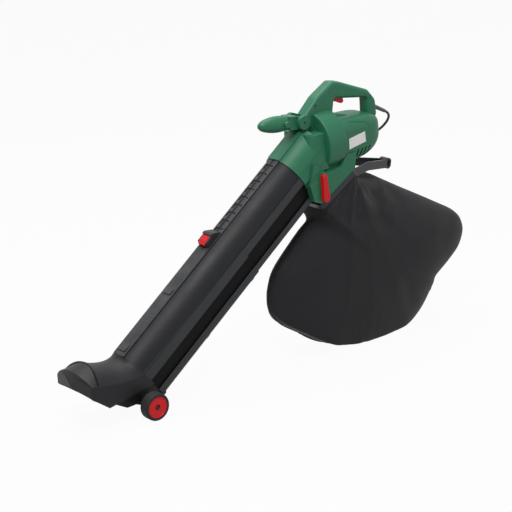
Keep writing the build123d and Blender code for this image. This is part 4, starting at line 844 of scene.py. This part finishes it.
def paint_duct_light_and_shade(name, painted_light_grain, painted_shade_recess):
    """Painted light for a duct node's flat outer faces, a lighter grained copy of the tube's finish, and
    painted shade in its side grooves, a smooth darker copy.

    A face is told by its middle's height square to the ducts, its middle's half width and its normal; the upper
    tube nests in the lower one, so each limit is loosened inwards by the nesting."""
    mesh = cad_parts[name].data
    middle, normal = np.empty(len(mesh.polygons) * 3), np.empty(len(mesh.polygons) * 3)
    mesh.polygons.foreach_get("center", middle)
    mesh.polygons.foreach_get("normal", normal)
    x, y, z = middle.reshape(-1, 3).T * 1000
    nx, ny, nz = normal.reshape(-1, 3).T
    tilt = radians(DUCT_TILT)
    back, rise = x + MIDDLE, z - AXLE_HIGH
    on_duct = back * cos(tilt) + rise * sin(tilt) > DUCT_START
    high = rise * cos(tilt) - back * sin(tilt)
    up = nz * cos(tilt) - nx * sin(tilt)
    wide, out = np.abs(y), ny * np.sign(y)

    def between(limits):
        return (high > limits[0] - DUCT_NEST) & (high < limits[1] + DUCT_NEST)

    land = (up > FLAT_FACING) & (high > LAND_HIGH - DUCT_NEST) & (wide < LAND_HALF)
    strip = (out > FLAT_FACING) & (wide > STRIP_HALF - DUCT_NEST) & between(STRIP_HIGH)
    flank = (out > FLAT_FACING) & (wide > FLANK_HALF - DUCT_NEST) & between(FLANK_HIGH)
    groove = (wide > FLANK_HALF - GROOVE_NESTS * DUCT_NEST) & (wide < STRIP_HALF) & between(GROOVE_HIGH)
    groove &= ((out > GROOVE_OUT) | (np.abs(up) > GROOVE_UP)) & ~strip & ~flank
    # Material 1 is the painted light of the flat faces, material 2 the painted shade of the grooves
    finish = np.where(on_duct & (land | strip | flank), 1, np.where(on_duct & groove, 2, 0))
    mesh.materials.append(painted_light_grain)
    mesh.materials.append(painted_shade_recess)
    mesh.polygons.foreach_set("material_index", finish)
    mesh.update()


class BLOWER_OT_finishes(bpy.types.Operator):
    """Finish of every CAD node that shows or that a pose can show"""

    bl_idname = "blower.finishes"
    bl_label = "Finishes"

    def execute(self, context):
        colours = context.scene.blower_colours
        dress(moulded("shell moulding", tuple(colours.shell),
                      fine=520.0, shade=0.9, smooth=0.36, rough=0.5, grain=0.1, dust=0.01, shine=0.28),
              "housing_left", "housing_right", "front_handle", "lock_button")
        dress(moulded("duct moulding", tuple(colours.tube),
                      fine=900.0, shade=0.85, smooth=0.40, rough=0.55, grain=0.35, dust=0.02, shine=0.22),
              "lower_tube", "upper_tube", "nozzle")
        tube = np.array(colours.tube)
        # Painted light: the ducts' flat outer faces get a copy of the tube's colour three times lighter
        painted_light_grain = moulded("grained land", tuple(tube * PAINTED_LIGHT_TONE),
                          fine=420.0, shade=0.8, smooth=0.45, rough=0.6, grain=0.6, dust=0.12, shine=0.25)
        # Painted shade: the ducts' side grooves get a copy of the tube's colour at about a third of its
        # brightness
        painted_shade_recess = moulded("smooth recess", tuple(tube * PAINTED_SHADE_TONE),
                         fine=900.0, shade=0.9, smooth=0.5, rough=0.6, grain=0.1, dust=0.0, shine=0.08)
        for name in ("lower_tube", "upper_tube"):
            paint_duct_light_and_shade(name, painted_light_grain, painted_shade_recess)
        dress(moulded("control gloss", tuple(colours.control),
                      fine=400.0, shade=0.92, smooth=0.24, rough=0.36, grain=0.03, dust=0.0, shine=0.25),
              "trigger", "mode_lever", "tube_latch", "wheel_hub_left", "wheel_hub_right")
        dress(moulded("frame moulding", tuple(colours.frame_black),
                      fine=800.0, shade=0.85, smooth=0.3, rough=0.48, grain=0.15, dust=0.06, shine=0.3),
              "bag_frame", "switch_block", "diverter_flap", "flap_shaft", "brush_holders", "motor_plate")
        dress(moulded("tyre rubber", (0.018, 0.018, 0.019),
                      fine=1100.0, shade=0.8, smooth=0.55, rough=0.75, grain=0.4, dust=0.06, shine=0.2),
              "tyre_left", "tyre_right", "axle_caps")
        dress(moulded("fan moulding", (0.055, 0.056, 0.058),
                      fine=700.0, shade=0.85, smooth=0.4, rough=0.55, grain=0.15), "impeller")
        dress(moulded("relief rubber", (0.085, 0.088, 0.092),
                      fine=900.0, shade=0.85, smooth=0.5, rough=0.65, grain=0.2, dust=0.04),
              "strain_relief", "plug_body")
        dress(moulded("brush carbon", (0.02, 0.02, 0.021),
                      fine=1500.0, shade=0.8, smooth=0.5, rough=0.7, grain=0.3), "carbon_brushes")
        dress(metal("bright steel", (0.55, 0.55, 0.57), rough=0.28, stretch=(1.0, 6.0, 1.0)),
              "lock_spring", "front_handle_bolt", "housing_screws",
              "impeller_nut", "motor_shaft", "front_bearing", "rear_bearing", "trigger_pin")
        dress(metal("dark steel", (0.05, 0.05, 0.052), rough=0.4, stretch=(1.0, 6.0, 1.0)),
              "axle", "latch_pin", "latch_spring")
        dress(metal("stacked steel", (0.2, 0.2, 0.21), rough=0.45, stretch=(40.0, 1.0, 1.0)),
              "armature", "motor_stator")
        dress(metal("warm copper", (0.62, 0.31, 0.16), rough=0.3, stretch=(1.0, 12.0, 1.0)),
              "commutator", "plug_pins")
        return {"FINISHED"}


# Stage: lamps with their place and size in metres and power in watts
LAMPS = [
    ("key", (-1.6, -1.7, 3.7), 1.6, 125.0),
    ("top", (0.3, 1.0, 3.6), 2.2, 85.0),
    ("fill", (2.6, -3.2, 1.2), 2.4, 14.0),
]
LAMP_AIM = Vector((0.0, 0.0, 0.35))
FLOOR_HALF = 14
FLOOR_GRID = 15
FLOOR_HIGH = -0.0005
FLOOR_GLOW = 0.95
WORLD_LIGHT = 0.26
SENSOR_WIDE = 36


class BLOWER_OT_stage(bpy.types.Operator):
    """Camera at the photograph's angle, pale floor, soft lamps and a plain bright world"""

    bl_idname = "blower.stage"
    bl_label = "Stage"

    def execute(self, context):
        scene = context.scene
        scene.view_settings.view_transform = "Standard"
        camera = bpy.data.objects.new("camera", bpy.data.cameras.new("camera"))
        camera.data.sensor_width = SENSOR_WIDE
        camera.data.lens = FOCAL_PIXELS * SENSOR_WIDE / PHOTO_SIDE
        camera.data.clip_end = 60
        right, up, forward = camera_axes()
        camera.matrix_world = Matrix((
            (right.x, up.x, -forward.x, CAMERA_AT.x), (right.y, up.y, -forward.y, CAMERA_AT.y),
            (right.z, up.z, -forward.z, CAMERA_AT.z), (0, 0, 0, 1)))
        scene.collection.objects.link(camera)
        scene.camera = camera

        reach = np.linspace(-FLOOR_HALF, FLOOR_HALF, FLOOR_GRID)
        x, y = np.meshgrid(reach, reach, indexing="ij")
        floor = add_mesh("floor", np.stack([x, y, np.full_like(x, FLOOR_HIGH)], axis=-1),
                         grid_faces(FLOOR_GRID, FLOOR_GRID)[:, ::-1])
        material = bpy.data.materials.new("pale floor")
        material.use_nodes = True
        tree = material.node_tree
        shader = tree.nodes["Principled BSDF"]
        shader.inputs["Base Color"].default_value = (0.5, 0.5, 0.5, 1)
        shader.inputs["Roughness"].default_value = 0.9
        shader.inputs["Specular IOR Level"].default_value = 0.0
        glow = tree.nodes.new("ShaderNodeEmission")
        glow.inputs["Color"].default_value = (1, 1, 1, 1)
        blend = tree.nodes.new("ShaderNodeMixShader")
        tree.links.new(calc(tree, "MULTIPLY", pale_rays(tree), FLOOR_GLOW), blend.inputs["Fac"])
        tree.links.new(shader.outputs[0], blend.inputs[1])
        tree.links.new(glow.outputs[0], blend.inputs[2])
        tree.links.new(blend.outputs[0], tree.nodes["Material Output"].inputs["Surface"])
        floor.data.materials.append(material)

        world = bpy.data.worlds.new("plain studio")
        scene.world = world
        world.use_nodes = True
        sky = world.node_tree
        back = sky.nodes["Background"]
        back.inputs["Color"].default_value = (1, 1, 1, 1)
        sky.links.new(ramp(sky, pale_rays(sky), 0.0, 1.0, WORLD_LIGHT, 1.0), back.inputs["Strength"])

        for name, at, size, power in LAMPS:
            lamp = bpy.data.objects.new(name, bpy.data.lights.new(name, "AREA"))
            lamp.data.size = size
            lamp.data.energy = power
            lamp.location = at
            aim = LAMP_AIM - Vector(at)
            lamp.rotation_euler = aim.to_track_quat("-Z", "Y").to_euler()
            scene.collection.objects.link(lamp)
        return {"FINISHED"}


class BLOWER_PT_panel(bpy.types.Panel):
    """Lists the pieces and settings of the leaf blower"""

    bl_idname = "BLOWER_PT_panel"
    bl_label = "Leaf blower"
    bl_space_type = "VIEW_3D"
    bl_region_type = "UI"
    bl_category = "Leaf blower"

    def draw(self, context):
        for operator in OPERATORS:
            self.layout.operator(operator.bl_idname)
        for settings in (context.scene.blower_colours, context.scene.blower_sizes):
            for name in settings.__annotations__:
                self.layout.prop(settings, name)


OPERATORS = (
    BLOWER_OT_stage, BLOWER_OT_cord, BLOWER_OT_bag, BLOWER_OT_bag_trim, BLOWER_OT_plate, BLOWER_OT_finishes,
    BLOWER_OT_nozzle_front,
)
CLASSES = (BlowerColours, BlowerSizes, *OPERATORS, BLOWER_PT_panel)


def register():
    for item in CLASSES:
        bpy.utils.register_class(item)
    bpy.types.Scene.blower_colours = PointerProperty(type=BlowerColours)
    bpy.types.Scene.blower_sizes = PointerProperty(type=BlowerSizes)


def unregister():
    del bpy.types.Scene.blower_sizes
    del bpy.types.Scene.blower_colours
    for item in reversed(CLASSES):
        bpy.utils.unregister_class(item)


def main():
    register()
    bpy.ops.blower.stage()
    bpy.ops.blower.cord()
    bpy.ops.blower.bag()
    bpy.ops.blower.bag_trim()
    bpy.ops.blower.plate()
    bpy.ops.blower.finishes()
    bpy.ops.blower.nozzle_front()
    bpy.context.view_layer.update()


if __name__ == "__main__":
    main()
